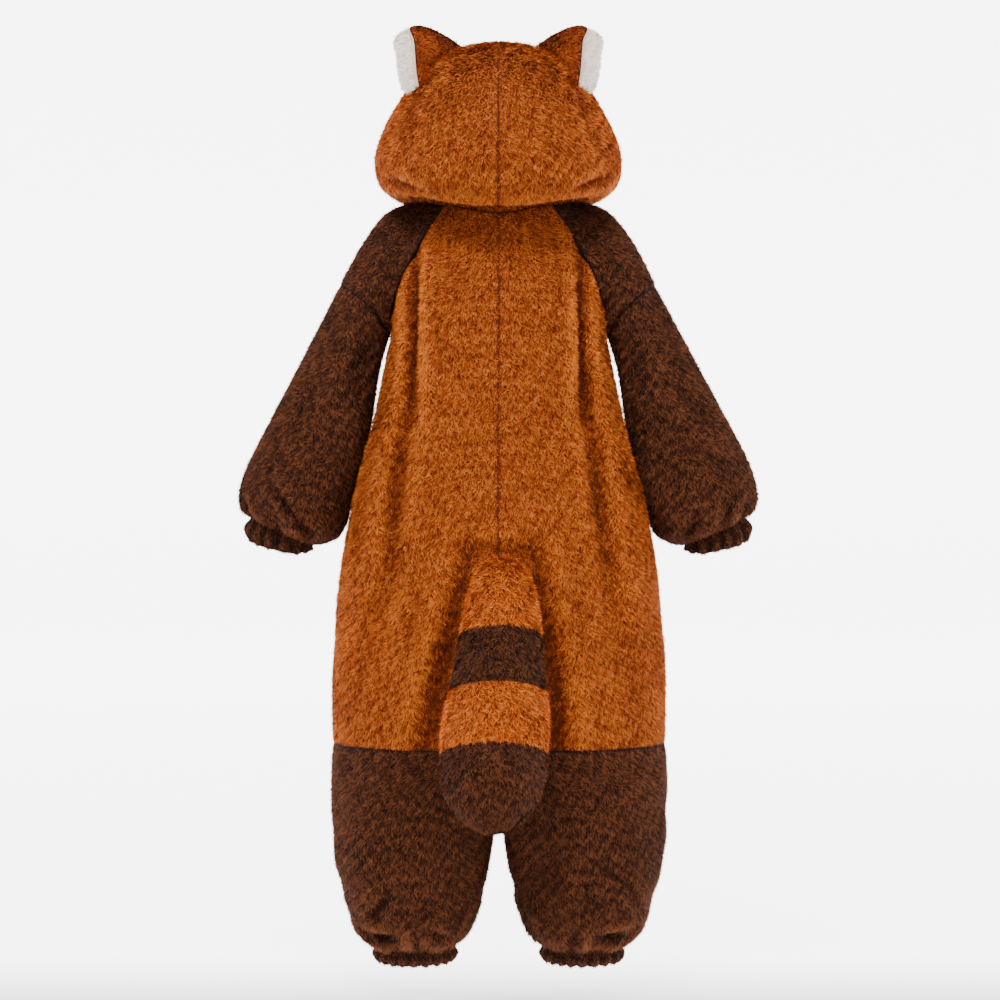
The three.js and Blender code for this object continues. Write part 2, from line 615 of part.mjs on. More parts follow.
// The tail as rings across its leaning axis, from s to s along it. It sways a little to the left.
function tailPiece(from, to, steps) {
  const lean = THREE.MathUtils.degToRad(TAIL.lean);
  const axis = point(0, Math.sin(lean), -Math.cos(lean));
  const outward = point(0, Math.cos(lean), Math.sin(lean));
  const start = from > 0 ? from + SEAM_GAP / 2 : from;
  const end = to < TAIL_SHAPE.at(-1).s ? to - SEAM_GAP / 2 : to;
  const positions = [];
  const faces = [];
  const add = (p) => positions.push(p.x, p.y, p.z) / 3 - 1;
  const centre = (s) =>
    point(TAIL.sway * (smooth(s, 40, 300) - 0.35), TAIL.topY, TAIL.topZ).addScaledVector(axis, s);
  const rings = range(steps).map((t) => {
    const s = lerp(start, end, t);
    const r = track(TAIL_SHAPE, "r", s);
    return ring(TAIL_SIDES, 2 * Math.PI).map((turn) =>
      add(
        centre(s)
          .addScaledVector(outward, r * Math.cos(turn))
          .add(point(r * Math.sin(turn), 0, 0)),
      ),
    );
  });
  const [first, last] = [add(centre(start)), add(centre(end))];
  for (let j = 0; j < TAIL_SIDES; j++) {
    const k = (j + 1) % TAIL_SIDES;
    for (let i = 0; i < steps; i++) {
      const [a, b, c, d] = [rings[i][j], rings[i][k], rings[i + 1][k], rings[i + 1][j]];
      faces.push(a, b, c, a, c, d);
    }
    faces.push(first, rings[0][k], rings[0][j]);
    faces.push(last, rings[steps][j], rings[steps][k]);
  }
  const geometry = new THREE.BufferGeometry();
  geometry.setAttribute("position", new THREE.Float32BufferAttribute(positions, 3));
  return geometry.setIndex(faces);
}

const beyond = (rows) => rows.map((row) => row.slice(1));
const mirroredBack = mirrorSkin(back);
const besides = (half, other) => half.map((row, i) => [...row, ...beyond(other)[i]]);
const wholeBack = {
  rows: besides(back.rows, mirroredBack.rows),
  normals: besides(back.normals, mirroredBack.normals),
  closed: false,
};
const backCutter = cutter(wholeBack, 40);
for (const { name, from, to, steps, finish } of TAIL_PIECES) {
  piece(name, geometryOf(closedMesh(tailPiece(from, to, steps)).subtract(backCutter)), finish);
}

// Ears: a plush back and a white front, sewn round their outline
const EAR_OUTLINE = [
  { x: 37, y: 14, z: 181 },
  { x: 51, y: 18, z: 194 },
  { x: 67, y: 24, z: 203 },
  { x: 82, y: 31, z: 208.5 },
  { x: 95, y: 38, z: 210 },
  { x: 105, y: 45, z: 205 },
  { x: 100, y: 51, z: 190 },
  { x: 98, y: 55, z: 170 },
  { x: 96.5, y: 58, z: 151 },
  { x: 93, y: 60, z: 132 },
  { x: 88, y: 58, z: 120 },
  { x: 71, y: 46, z: 141 },
  { x: 53, y: 28, z: 163 },
];
const EAR_BACK = { name: "ear_back", towards: point(-0.55, 0.8, 0.1), deep: 11, blunt: 2, finish: rust };
const EAR_FRONT = { name: "ear_front", towards: point(0.9, -0.42, -0.1), deep: 38, blunt: 4, finish: white };
const EAR_RINGS = 5;

function earSolid({ towards, deep, blunt }, side) {
  const outline = EAR_OUTLINE.map((p) => point(p.x, p.y, p.z));
  const middle = outline.reduce((sum, p) => sum.add(p), point(0, 0, 0)).divideScalar(outline.length);
  const away = towards.clone().normalize();
  const shift = away.clone().multiplyScalar(SEAM_GAP / 2);
  const positions = [];
  const faces = [];
  const add = (p) => positions.push(side * p.x, p.y, p.z) / 3 - 1;
  const place = (share, j, bulge) => {
    const p = middle.clone().lerp(outline[j], share).add(shift);
    return p.addScaledVector(away, bulge * deep * (1 - share ** blunt) ** 0.6);
  };
  const rim = outline.map((_, j) => add(place(1, j, 0)));
  const count = outline.length;
  const cap = (bulge, facing) => {
    const rings = [rim];
    for (let i = 1; i < EAR_RINGS; i++) {
      rings.push(outline.map((_, j) => add(place(1 - i / EAR_RINGS, j, bulge))));
    }
    const top = add(place(0, 0, bulge));
    const face = (a, b, c) => faces.push(...(facing > 0 ? [a, b, c] : [a, c, b]));
    for (let j = 0; j < count; j++) {
      const k = (j + 1) % count;
      for (let i = 0; i + 1 < EAR_RINGS; i++) {
        face(rings[i][j], rings[i][k], rings[i + 1][k]);
        face(rings[i][j], rings[i + 1][k], rings[i + 1][j]);
      }
      face(rings[EAR_RINGS - 1][j], rings[EAR_RINGS - 1][k], top);
    }
  };
  cap(1, side);
  cap(0, -side);
  const geometry = new THREE.BufferGeometry();
  geometry.setAttribute("position", new THREE.Float32BufferAttribute(positions, 3));
  geometry.setIndex(faces);
  const solid = closedMesh(geometry);
  return solid.volume() > 0 ? solid : closedMesh(reversed(geometry));
}

function reversed(geometry) {
  const index = Array.from(geometry.index.array);
  for (let i = 0; i < index.length; i += 3) [index[i], index[i + 1]] = [index[i + 1], index[i]];
  return geometry.setIndex(index);
}

for (const [word, side, skin] of [["left", 1, hood], ["right", -1, mirrorSkin(hood)]]) {
  const hoodCutter = cutter(skin, 22);
  for (const half of [EAR_BACK, EAR_FRONT]) {
    const solid = earSolid(half, side).subtract(hoodCutter);
    piece(`${half.name}_${word}`, geometryOf(solid), half.finish);
  }
}

// Front closing: a placket down the centre front, with buttons
const PLACKET = { half: 15, top: -40, bottom: -486, thick: 3, steps: 18 };
const BUTTON = { radius: 10.5, thick: 3.4, rim: 1, sides: 14, first: -56, pitch: 96, count: 5 };

// The front's outer face at a height, and a distance from the middle.
function frontAt(x, z) {
  let [low, high] = [0, 1];
  const level = z < UNDERARM.z ? z : levelAt(z);
  for (let i = 0; i < 24; i++) {
    const s = (low + high) / 2;
    if (bodyPoint(RAGLAN_FRONT, level, s).x < Math.abs(x)) low = s;
    else high = s;
  }
  const p = bodyPoint(RAGLAN_FRONT, level, low);
  return point(x, p.y, p.z);
}

// The section of the yoke whose middle lies at a height.
function levelAt(z) {
  let [low, high] = [0, 1];
  for (let i = 0; i < 24; i++) {
    const q = (low + high) / 2;
    if (track(RAGLAN_FRONT, "centreZ", q) > z) low = q;
    else high = q;
  }
  return low;
}

const placketRows = range(PLACKET.steps).map((t) => {
  const z = lerp(PLACKET.top, PLACKET.bottom, t);
  return [-1, -0.5, 0, 0.5, 1].map((share) => frontAt(share * PLACKET.half, z));
});
const placket = skinOf(placketRows);
sewNormals([placket]);
const placketFace = (by) =>
  placket.rows.map((row, i) => row.map((p, j) => p.clone().addScaledVector(placket.normals[i][j], by)));
const PLACKET_LIFT = 0.9; // clears the facets of the panels below
const placketFaces = [PLACKET_LIFT + PLACKET.thick, PLACKET_LIFT].map(placketFace);
piece("placket", solidBetween(...placketFaces, false), rust);

const buttonProfile = [
  [0, 0],
  [BUTTON.radius - 1, 0],
  [BUTTON.radius, 1],
  [BUTTON.radius, BUTTON.thick - BUTTON.rim],
  [BUTTON.radius - 1.4, BUTTON.thick],
  [BUTTON.radius - 3, BUTTON.thick - BUTTON.rim],
  [0, BUTTON.thick - BUTTON.rim],
].map(([r, h]) => new THREE.Vector2(r, h));

for (let i = 0; i < BUTTON.count; i++) {
  const z = BUTTON.first - i * BUTTON.pitch;
  const on = frontAt(0, z);
  const slope = frontAt(0, z - 8).sub(frontAt(0, z + 8)).normalize();
  const out = point(1, 0, 0).cross(slope).normalize();
  const outward = out.y < 0 ? out : out.negate();
  const lift = PLACKET_LIFT + PLACKET.thick + 0.7;
  const shape = new THREE.LatheGeometry(buttonProfile, BUTTON.sides);
  const button = piece(`button_${i + 1}`, shape, buttonBrown);
  button.position.copy(on.addScaledVector(outward, lift));
  button.quaternion.setFromUnitVectors(point(0, 1, 0), outward);
}

export default onesie;
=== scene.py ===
import math

import bpy
import numpy as np
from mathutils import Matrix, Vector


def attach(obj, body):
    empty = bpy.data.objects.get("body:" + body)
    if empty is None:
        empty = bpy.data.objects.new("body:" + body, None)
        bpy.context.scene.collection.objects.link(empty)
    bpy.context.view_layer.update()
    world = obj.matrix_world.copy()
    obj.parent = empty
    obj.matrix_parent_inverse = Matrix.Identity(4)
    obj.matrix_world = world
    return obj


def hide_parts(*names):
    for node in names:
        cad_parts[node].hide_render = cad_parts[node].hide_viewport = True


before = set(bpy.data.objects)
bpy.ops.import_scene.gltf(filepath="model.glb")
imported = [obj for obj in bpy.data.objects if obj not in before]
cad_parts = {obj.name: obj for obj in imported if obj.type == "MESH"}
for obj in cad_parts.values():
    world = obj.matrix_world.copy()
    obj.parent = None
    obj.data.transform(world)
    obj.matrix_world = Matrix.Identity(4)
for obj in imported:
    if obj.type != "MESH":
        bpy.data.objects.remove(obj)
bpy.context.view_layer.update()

# Back and front
# Four panels of rust coral fleece, two behind and two in front, from the neck seam down to the thighs.
# They are machine-sewn right sides together, so each seam lies in a shallow groove of the pile.

UNDERARM_Z = -158
LEG_TOP = -640
BODY = dict(
    z=(UNDERARM_Z, -200, -265, -340, -375, -436, -500, -580, LEG_TOP),
    side=(130, 139, 153.5, 173.5, 181, 191, 197.5, 201, 200),
    back=(93, 94, 95, 97, 98.5, 102, 107, 114, 117),
    front=(90, 92, 94, 97, 99, 102, 105, 108, 109),
    full=(0.7, 0.68, 0.66, 0.64, 0.62, 0.6, 0.6, 0.6, 0.6),
)
RAGLAN_BACK = dict(
    q=(0, 0.25, 0.5, 0.75, 1),
    x=(64, 89, 112, 126, 130),
    y=(43, 60, 57, 37, 0),
    z=(-2, -44, -88, -126, UNDERARM_Z),
    centre_y=(68, 80, 88, 92, 93),
    centre_z=(-14, -48, -84, -119, -154),
    along_x=(0.7, 0.86, 0.84, 0.45, 0),
    along_y=(-0.7, -0.5, -0.54, -0.88, -1),
    along_z=(0.1, 0.1, 0, 0, 0),
    away_x=(0.7, 0.8, 0.62, 0.3, 0.08),
    away_y=(-0.7, -0.3, 0.4, 0.8, 0.9),
    away_z=(0.1, 0.5, 0.66, 0.52, 0.42),
    reach=(24, 34, 44, 52, 78),
)
RAGLAN_FRONT = dict(
    q=(0, 0.25, 0.5, 0.75, 1),
    x=(52, 82, 106, 122, 130),
    y=(-52, -66, -58, -36, 0),
    z=(-16, -54, -95, -130, UNDERARM_Z),
    centre_y=(-68, -78, -85, -89, -90),
    centre_z=(-34, -62, -93, -124, -154),
    along_x=(0.8, 0.88, 0.84, 0.45, 0),
    along_y=(0.6, 0.46, 0.54, 0.88, 1),
    along_z=(0.2, 0.1, 0, 0, 0),
    away_x=(0.75, 0.8, 0.62, 0.3, 0.08),
    away_y=(0.6, 0.3, -0.4, -0.8, -0.9),
    away_z=(0.25, 0.5, 0.66, 0.52, 0.42),
    reach=(28, 36, 44, 52, 78),
)
BODY_FOLDS = dict(
    at=(0.455, 0.6, 0.2),
    width=(0.062, 0.075, 0.06),
    deep=(8.5, -3.5, 2.2),
    top=(-120, -130, -330),
    bottom=(-610, -560, -640),
)


def vector(x, y, z):
    return np.stack(np.broadcast_arrays(x, y, z), axis=-1).astype(float)


def unit(v):
    return v / np.maximum(np.linalg.norm(v, axis=-1, keepdims=True), 1e-9)


def smooth(value, low, high):
    t = np.clip((value - low) / (high - low), 0, 1)
    return t * t * (3 - 2 * t)


def mix(a, b, share):
    return a + (b - a) * share


def nearness(away, reach):
    return np.exp(-((away / reach) ** 2))


def track(table, column, at):
    """A column of a table as a smooth curve through its values. The first column is the place."""
    key = np.array(next(iter(table.values())), float)
    value = np.array(table[column], float)
    last = len(key) - 1
    here = np.arange(last + 1)
    low, high = np.maximum(here - 1, 0), np.minimum(here + 1, last)
    slope = (value[high] - value[low]) / (key[high] - key[low])
    rising = np.sign(key[-1] - key[0])
    i = np.clip(np.searchsorted(key * rising, at * rising) - 1, 0, last - 1)
    step = key[i + 1] - key[i]
    t = np.clip((at - key[i]) / step, 0, 1)
    return (
        mix(value[i], value[i + 1], t * t * (3 - 2 * t))
        + step * slope[i] * t * (1 - t) ** 2
        - step * slope[i + 1] * t * t * (1 - t)
    )


def tracks(table, names, at):
    return vector(*(track(table, name, at) for name in names.split()))


def bezier(a, leave, d, arrive, s):
    s = np.asarray(s)[..., None]
    r = 1 - s
    return a * r**3 + (a + leave) * 3 * r * r * s + (d + arrive) * 3 * r * s * s + d * s**3


def body_point(raglan, level, s):
    """level is 0 at the neckline to 1 at the underarm, and a height below it."""
    q = np.clip(level, 0, 1)
    centre = vector(0, track(raglan, "centre_y", q), track(raglan, "centre_z", q))
    seam = tracks(raglan, "x y z", q)
    along = unit(tracks(raglan, "along_x along_y along_z", q))
    near = smooth(q, 0.3, 1)
    flat = mix(0.36, BODY["full"][0], near)
    arrive = flat * mix(seam[..., 0], np.abs(centre[..., 1]), near)
    upper = bezier(centre, vector(flat * seam[..., 0], 0, 0), seam, -along * arrive[..., None], s)
    z = np.where(level < 0, level, UNDERARM_Z)
    side, full = track(BODY, "side", z), track(BODY, "full", z)
    behind = raglan["centre_y"][0] > 0
    deep = track(BODY, "back", z) if behind else -track(BODY, "front", z)
    leave, arrive = vector(full * side, 0, 0), vector(0, full * deep, 0)
    lower = bezier(vector(0, deep, z), leave, vector(side, 0, z), arrive, s)
    return np.where((level >= 0)[..., None], upper, lower)


def body_fold(z, s):
    total = 0
    for at, width, deep, top, bottom in zip(*BODY_FOLDS.values()):
        ends = smooth(-z, -top, 110 - top) * (1 - smooth(-z, -bottom - 110, -bottom))
        total = total + deep * ends * nearness(s - at, width)
    return total


def body_panel(raglan):
    """Points of a panel from the centre seam to the side, in rows from the neckline down."""
    levels = np.concatenate([np.linspace(0, 1, 22), np.linspace(UNDERARM_Z - 8, LEG_TOP, 58)])
    level, s = np.meshgrid(levels, np.linspace(0, 1, 38), indexing="ij")
    p = body_point(raglan, level, s)
    out = unit(vector(p[..., 0] / 200, p[..., 1] / 100, 0))
    return p - out * body_fold(p[..., 2], s)[..., None]


# Soft creases, in millimetres, as seen from the side that they face. Each runs from one place to
# another, and has a trough's half width and a depth, which is negative for a ridge.
FACING = dict(back=(1, 1), front=(1, -1), left=(0, 1), right=(0, -1))
BODY_CREASES = dict(
    back=(
        ((96, -34), (101, -262), 6.5, 10),
        ((-96, -38), (-99, -256), 6.5, 10),
        ((84, -60), (89, -300), 8, -2.6),
        ((-84, -64), (-87, -290), 8, -2.8),
        ((101, -200), (134, -470), 9, 6),
        ((-100, -205), (-136, -480), 9, 6.5),
        # The next five troughs lie about the tail; the darkening they give the pile is a painted shadow
        # of the tail.
        ((46, -408), (-50, -408), 9, 5.5),
        ((32, -394), (62, -548), 12, 8.5),
        ((54, -492), (94, -676), 13, 9),
        ((-38, -394), (-66, -556), 12, 9),
        ((-60, -500), (-76, -690), 13, 9),
        ((82, -455), (106, -520), 13, 2.2),
        ((-78, -448), (-98, -540), 13, 2.4),
        ((40, -26), (84, -74), 8, 1.5),
        ((-44, -30), (-80, -70), 8, 1.3),
        ((150, -470), (172, -610), 12, 2.6),
        ((-148, -480), (-168, -622), 12, 2.2),
    ),
    front=(
        ((94, -128), (104, -262), 9, 3.4),
        ((-92, -131), (-101, -248), 9, 3.6),
        ((52, -420), (110, -500), 14, 2.6),
        ((-48, -432), (-104, -524), 14, 2.4),
        ((24, -560), (92, -626), 12, 2.4),
        ((-20, -556), (-84, -630), 12, 2.6),
    ),
    left=(
        ((-20, -430), (34, -600), 14, 2.6),
        ((12, -200), (-8, -330), 11, 2),
    ),
    right=(
        ((26, -420), (-28, -590), 14, 2.4),
        ((-10, -205), (10, -320), 11, 2),
    ),
)


def crease_depth(points, normals, creases):
    """How deep creases press into each point. The cloth rises a little on both sides of a trough."""
    total = np.zeros(points.shape[:-1])
    for side, troughs in creases.items():
        axis, sign = FACING[side]
        facing = smooth(normals[..., axis] * sign, 0.05, 0.5)
        for (a, z), (b, c), wide, deep in troughs:
            across, up = points[..., 1 - axis] - a, points[..., 2] - z
            t = np.clip((across * (b - a) + up * (c - z)) / ((b - a) ** 2 + (c - z) ** 2), 0, 1)
            away = np.hypot(across - t * (b - a), up - t * (c - z)) / wide
            fade = np.sin(math.pi * np.clip(t, 0.05, 0.95)) ** 0.7
            total += deep * fade * facing * (nearness(away, 1) - 0.4 * nearness(away - 2, 1))
    return total


def ripple(points, size, seed):
    """Smooth noise from -1 to 1 at points, with bumps about size millimetres apart."""
    draw = np.random.default_rng(seed)
    total = 0
    for _ in range(6):
        way = unit(draw.normal(size=3)) * draw.uniform(0.7, 1.4) * math.pi / size
        total = total + np.sin(points @ way + draw.uniform(0, 2 * math.pi))
    return total / 3.2


def way_down(rows):
    return np.gradient(rows, axis=0)


def facing_out(rows, closed):
    """Normals of rows that run downward, with columns from left to right as seen from outside."""
    if closed:
        across = np.roll(rows, -1, axis=1) - np.roll(rows, 1, axis=1)
    else:
        across = np.gradient(rows, axis=1)
    return unit(np.cross(way_down(rows), across))


def seam_distance(rows, seams):
    """How far each point is from the nearest border that is a seam."""
    borders = dict(top=rows[:1], bottom=rows[-1:], first=rows[:, :1], last=rows[:, -1:])
    away = np.full(rows.shape[:2], 1000.0)
    for border in seams.split():
        away = np.minimum(away, np.linalg.norm(rows - borders[border], axis=-1))
    return away


PILE_DEEP = 2.6
CLOTH_THICK = 1.1
SEAM_TURN = 5  # how far a seam's edges are turned in
SEAM_BARE = 0.8  # the pile is caught in the stitches this near to a seam


def laid_cloth(rows, seams, creases):
    """A panel's uneven face under its pile, sunk at its seams, and how deep its creases are."""
    normals = facing_out(rows, False)
    hollow = crease_depth(rows, normals, creases)
    sunk = PILE_DEEP + hollow - 0.6 * nearness(seam_distance(rows, seams), 3.5)
    sunk = sunk + 0.9 * ripple(rows, 95, 3) + 0.45 * ripple(rows, 34, 4)
    return rows - normals * sunk[..., None], hollow


def add_piece(name, points, faces, finishes, face_finish=None, smoothly=True, **values):
    """A mesh from points in millimetres and faces with the same number of corners."""
    mesh = bpy.data.meshes.new(name)
    faces = np.asarray(faces, np.int32)
    count, corners = faces.shape
    mesh.vertices.add(len(points))
    mesh.vertices.foreach_set("co", (np.asarray(points) / 1000).astype(np.float32).ravel())
    mesh.loops.add(count * corners)
    mesh.loops.foreach_set("vertex_index", faces.ravel())
    mesh.polygons.add(count)
    mesh.polygons.foreach_set("loop_start", np.arange(0, count * corners, corners, dtype=np.int32))
    for finish in finishes:
        mesh.materials.append(finish)
    if face_finish is not None:
        mesh.polygons.foreach_set("material_index", np.asarray(face_finish, np.int32))
    mesh.polygons.foreach_set("use_smooth", np.full(count, smoothly))
    for key, value in values.items():
        mesh.attributes.new(key, "FLOAT", "POINT").data.foreach_set("value", value.astype(np.float32))
    mesh.update(calc_edges=True)
    mesh.validate()
    piece = bpy.data.objects.new(name, mesh)
    bpy.context.scene.collection.objects.link(piece)
    return piece


def fit(piece, node):
    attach(piece, "root")
    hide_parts(node)
    return piece


def grid_faces(high, wide, closed):
    i, j = np.meshgrid(np.arange(high - 1), np.arange(wide if closed else wide - 1), indexing="ij")
    k = (j + 1) % wide
    corners = [i * wide + j, (i + 1) * wide + j, (i + 1) * wide + k, i * wide + k]
    return np.stack(corners, axis=-1).reshape(-1, 4)


def cloth_piece(name, rows, closed, finishes, seams="", hollow=None):
    """A thin closed shell, with the first finish on its face and the second on its back and edges.
    At a seam its edge is turned in."""
    normals = facing_out(rows, closed)
    under = -normals * CLOTH_THICK
    hollow = np.zeros(rows.shape[:2]) if hollow is None else hollow
    sides = dict(top=(0, 0, 1), bottom=(0, -1, -2), first=(1, 0, 1), last=(1, -1, -2))
    for border in seams.split():
        axis, end, beside = sides[border]
        rows, normals, under = (np.moveaxis(part, axis, 0) for part in (rows, normals, under))
        inward = unit(rows[beside] - rows[end]) * CLOTH_THICK
        under[end] = under[end] + inward
        flap = rows[end] - normals[end] * SEAM_TURN
        hollow = np.moveaxis(hollow, axis, 0)
        turned_in = (flap, normals[end], inward, hollow[end])
        grown = []
        for part, more in zip((rows, normals, under, hollow), turned_in):
            pair = (more[None], part) if end == 0 else (part, more[None])
            grown.append(np.moveaxis(np.concatenate(pair), 0, axis))
        rows, normals, under, hollow = grown
    high, wide = rows.shape[:2]
    points = np.concatenate([rows.reshape(-1, 3), (rows + under).reshape(-1, 3)])
    face = grid_faces(high, wide, closed)
    lower = high * wide
    order = np.arange(high * wide).reshape(high, wide)
    top, bottom = order[0], order[-1]
    if closed:
        top, bottom = np.append(top, top[0]), np.append(bottom, bottom[0])
    borders = [(top[1:], top[:-1]), (bottom[:-1], bottom[1:])]
    if not closed:
        borders += [(order[:-1, 0], order[1:, 0]), (order[1:, -1], order[:-1, -1])]
    rims = [np.stack([a, b, b + lower, a + lower], axis=-1)[:, ::-1] for a, b in borders]
    faces = np.concatenate([face, face[:, ::-1] + lower, *rims])
    backs = np.concatenate([np.zeros(len(face)), np.ones(len(faces) - len(face))])
    return add_piece(name, points, faces, finishes, backs, hollow=np.tile(hollow.ravel(), 2))


draw = np.random.default_rng(41)
EVEN_STEPS = (0.7548776662, 0.5698402910)  # these scatter points evenly over a square
CLUMP_SIZE = 3.8  # the tufts of a clump lean alike and share one level of painted light and shade
UNLIKE = dict(turn=26, rise=9, roll=24)  # how much single tufts differ, in degrees


def pile_piece(name, rows, closed, finish, hollow=None, seams="", keep=None,
               spacing=1.5, long=5.8, wide=2, lift=30, swirl=36):
    """Tufts of pile as small pointed leaves, rooted in the cloth and combed down its rows."""
    cells = grid_faces(*rows.shape[:2], closed)
    hollow = np.zeros(rows.shape[:2]) if hollow is None else hollow
    corner = rows.reshape(-1, 3)[cells]
    diagonals = corner[:, 2] - corner[:, 0], corner[:, 3] - corner[:, 1]
    area = 0.5 * np.linalg.norm(np.cross(*diagonals), axis=1)
    count = np.floor(area / spacing**2 + draw.random(len(cells))).astype(int)
    number = np.arange(count.sum()) + 1.0
    u, v = (step * number % 1 for step in EVEN_STEPS)
    shares = np.stack([(1 - u) * (1 - v), u * (1 - v), u * v, (1 - u) * v], axis=-1)[..., None]
    cell = np.repeat(cells, count, axis=0)

    def at_roots(part):
        flat = part.reshape(-1, part.shape[-1])
        return (flat[cell] * shares).sum(axis=1)

    near_seam = np.stack([seam_distance(rows, seams), hollow], axis=-1)
    parts = (rows, facing_out(rows, closed), unit(way_down(rows)), near_seam)
    root, out, comb, extra = (at_roots(part) for part in parts)
    kept = extra[:, 0] > SEAM_BARE
    if keep is not None:
        kept = kept & keep(root)
    root, out, comb, extra = root[kept], out[kept], comb[kept], extra[kept]
    pinch = nearness(extra[:, 0], 5)
    # Near a seam hollow grows, a painted shade in the seam's groove.
    hollow = extra[:, 1] + 4 * nearness(extra[:, 0], 2.6)
    out = unit(out)
    comb = unit(comb - out * (comb * out).sum(axis=-1, keepdims=True))
    side = np.cross(out, comb)
    total = len(root)
    clump = ripple(root, CLUMP_SIZE, 7)
    turn = swirl * ripple(root, 7, 5) + 16 * ripple(root, 60, 6) + draw.normal(0, UNLIKE["turn"], total)
    rise = lift * (1 - 0.6 * pinch) + 13 * clump + draw.normal(0, UNLIKE["rise"], total)
    roll = np.radians(draw.normal(0, UNLIKE["roll"], total))
    turn, rise = np.radians(turn), np.radians(np.clip(rise, 5, 65))
    cos, sin = np.cos(turn)[:, None], np.sin(turn)[:, None]
    comb, side = comb * cos + side * sin, side * cos - comb * sin
    way = comb * np.cos(rise)[:, None] + out * np.sin(rise)[:, None]
    long = (long * draw.uniform(0.7, 1.25, total) * (1 - 0.5 * pinch))[:, None]
    half = side * np.cos(roll)[:, None] + out * np.sin(roll)[:, None]
    half = half * (wide / 2 * draw.uniform(0.75, 1.25, total))[:, None]
    points = np.stack([root - half, root + way * long, root + half], axis=1)
    faces = np.arange(total * 3).reshape(-1, 3)
    # tone: a random share that differs from tuft to tuft, and a clump share that is painted light and
    # shade, lighter where a clump stands higher.
    tone = 0.6 * draw.random(total) + 0.2 + 0.25 * clump
    # tip is low at a tuft's root corners and high at its point: painted shade at the roots and a
    # painted highlight at the tips.
    tip = np.tile([0.1, 1.0, 0.1], total)
    return add_piece(name, points.reshape(-1, 3), faces, [finish], smoothly=False,
                     tip=tip, tone=np.repeat(tone, 3), hollow=np.repeat(hollow, 3))


class Signal:
    """One output of a shader node. Sums and products of signals add the nodes that work them out."""

    def __init__(self, socket):
        self.socket = socket

    def worked(self, operation, *values):
        return add_node(self.socket.id_data, "ShaderNodeMath", {"operation": operation}, *values)

    def __add__(self, other):
        return self.worked("ADD", self, other)

    def __sub__(self, other):
        return self.worked("SUBTRACT", self, other)

    def __rsub__(self, other):
        return self.worked("SUBTRACT", other, self)

    def __mul__(self, other):
        return self.worked("MULTIPLY", self, other)

    __radd__ = __add__
    __rmul__ = __mul__


def plug(node, *values, **named):
    """Gives a node's sockets values or links, in order or by name."""
    sockets = [node.inputs[i] for i in range(len(values))]
    sockets += [node.inputs[name.replace("_", " ")] for name in named]
    for socket, value in zip(sockets, (*values, *named.values())):
        if isinstance(value, Signal):
            node.id_data.links.new(value.socket, socket)
        else:
            socket.default_value = value


def add_node(tree, kind, settings, *values, output=0, **named):
    """A shader node with its settings made first, then its sockets."""
    node = tree.nodes.new(kind)
    for key, value in settings.items():
        if key == "stops":
            ramp = node.color_ramp
            while len(ramp.elements) < len(value):
                ramp.elements.new(1)
            for element, (at, colour) in zip(ramp.elements, value):
                element.position, element.color = at, colour
        else:
            setattr(node, key, value)
    plug(node, *values, **named)
    return Signal(node.outputs[output])


def paint(red, green, blue):
    """A colour of the screen, from 0 to 255, as the linear colour that shaders take."""
    shares = (v / 255 for v in (red, green, blue))
    return (*(((v + 0.055) / 1.055) ** 2.4 if v > 0.04 else v / 12.92 for v in shares), 1.0)


def new_finish(name):
    """A material with its nodes, its shader and the place on the piece that patterns follow."""
    finish = bpy.data.materials.new(name)
    finish.use_nodes = True
    tree = finish.node_tree
    place = add_node(tree, "ShaderNodeTexCoord", {}, output="Object")
    return finish, tree, tree.nodes["Principled BSDF"], place


def plush(name, depth, body, tips, sheen):
    """Pile painted darker between its tufts, in creases and along seams, as painted shade, and lighter
    at its tips and on ridges, as painted light, with uneven patches of painted light and shade that
    stand for its nap.
    """
    finish, tree, shader, place = new_finish(name)
    tip, tone, hollow = (
        add_node(tree, "ShaderNodeAttribute", {"attribute_name": word}, output="Fac")
        for word in ("tip", "tone", "hollow")
    )
    # patch gives broad patches of painted light and shade that stand for the nap catching the light; it
    # also varies the roughness.
    patch = add_node(tree, "ShaderNodeTexNoise", {}, place, Scale=40, Detail=2)
    strand = add_node(tree, "ShaderNodeTexNoise", {}, place, Scale=1100, Detail=1)
    # Painted shade and light: the lightness falls with hollow in creases, seams and the gaps between
    # cuff ribs, and rises where hollow is below zero, on ridges and rib tops. Where tip and tone are
    # missing, as on the cloth and the stuffed bodies under the pile, it lies mostly at the depth stop,
    # a painted shade.
    light = tip * 0.6 + tone * 0.95 + patch * 0.35 + strand * 0.8 - hollow * 0.065 - 0.83
    stops = [(0, depth), (0.45, body), (1, tips)]
    colour = add_node(tree, "ShaderNodeValToRGB", {"stops": stops}, light)
    bump = add_node(tree, "ShaderNodeBump", {}, Strength=0.35, Distance=0.0004, Height=strand)
    plug(shader, Base_Color=colour, Roughness=0.95 - patch * 0.12, Normal=bump, Specular_IOR_Level=0.2,
         Sheen_Weight=sheen, Sheen_Roughness=0.45, Sheen_Tint=tips)
    return finish


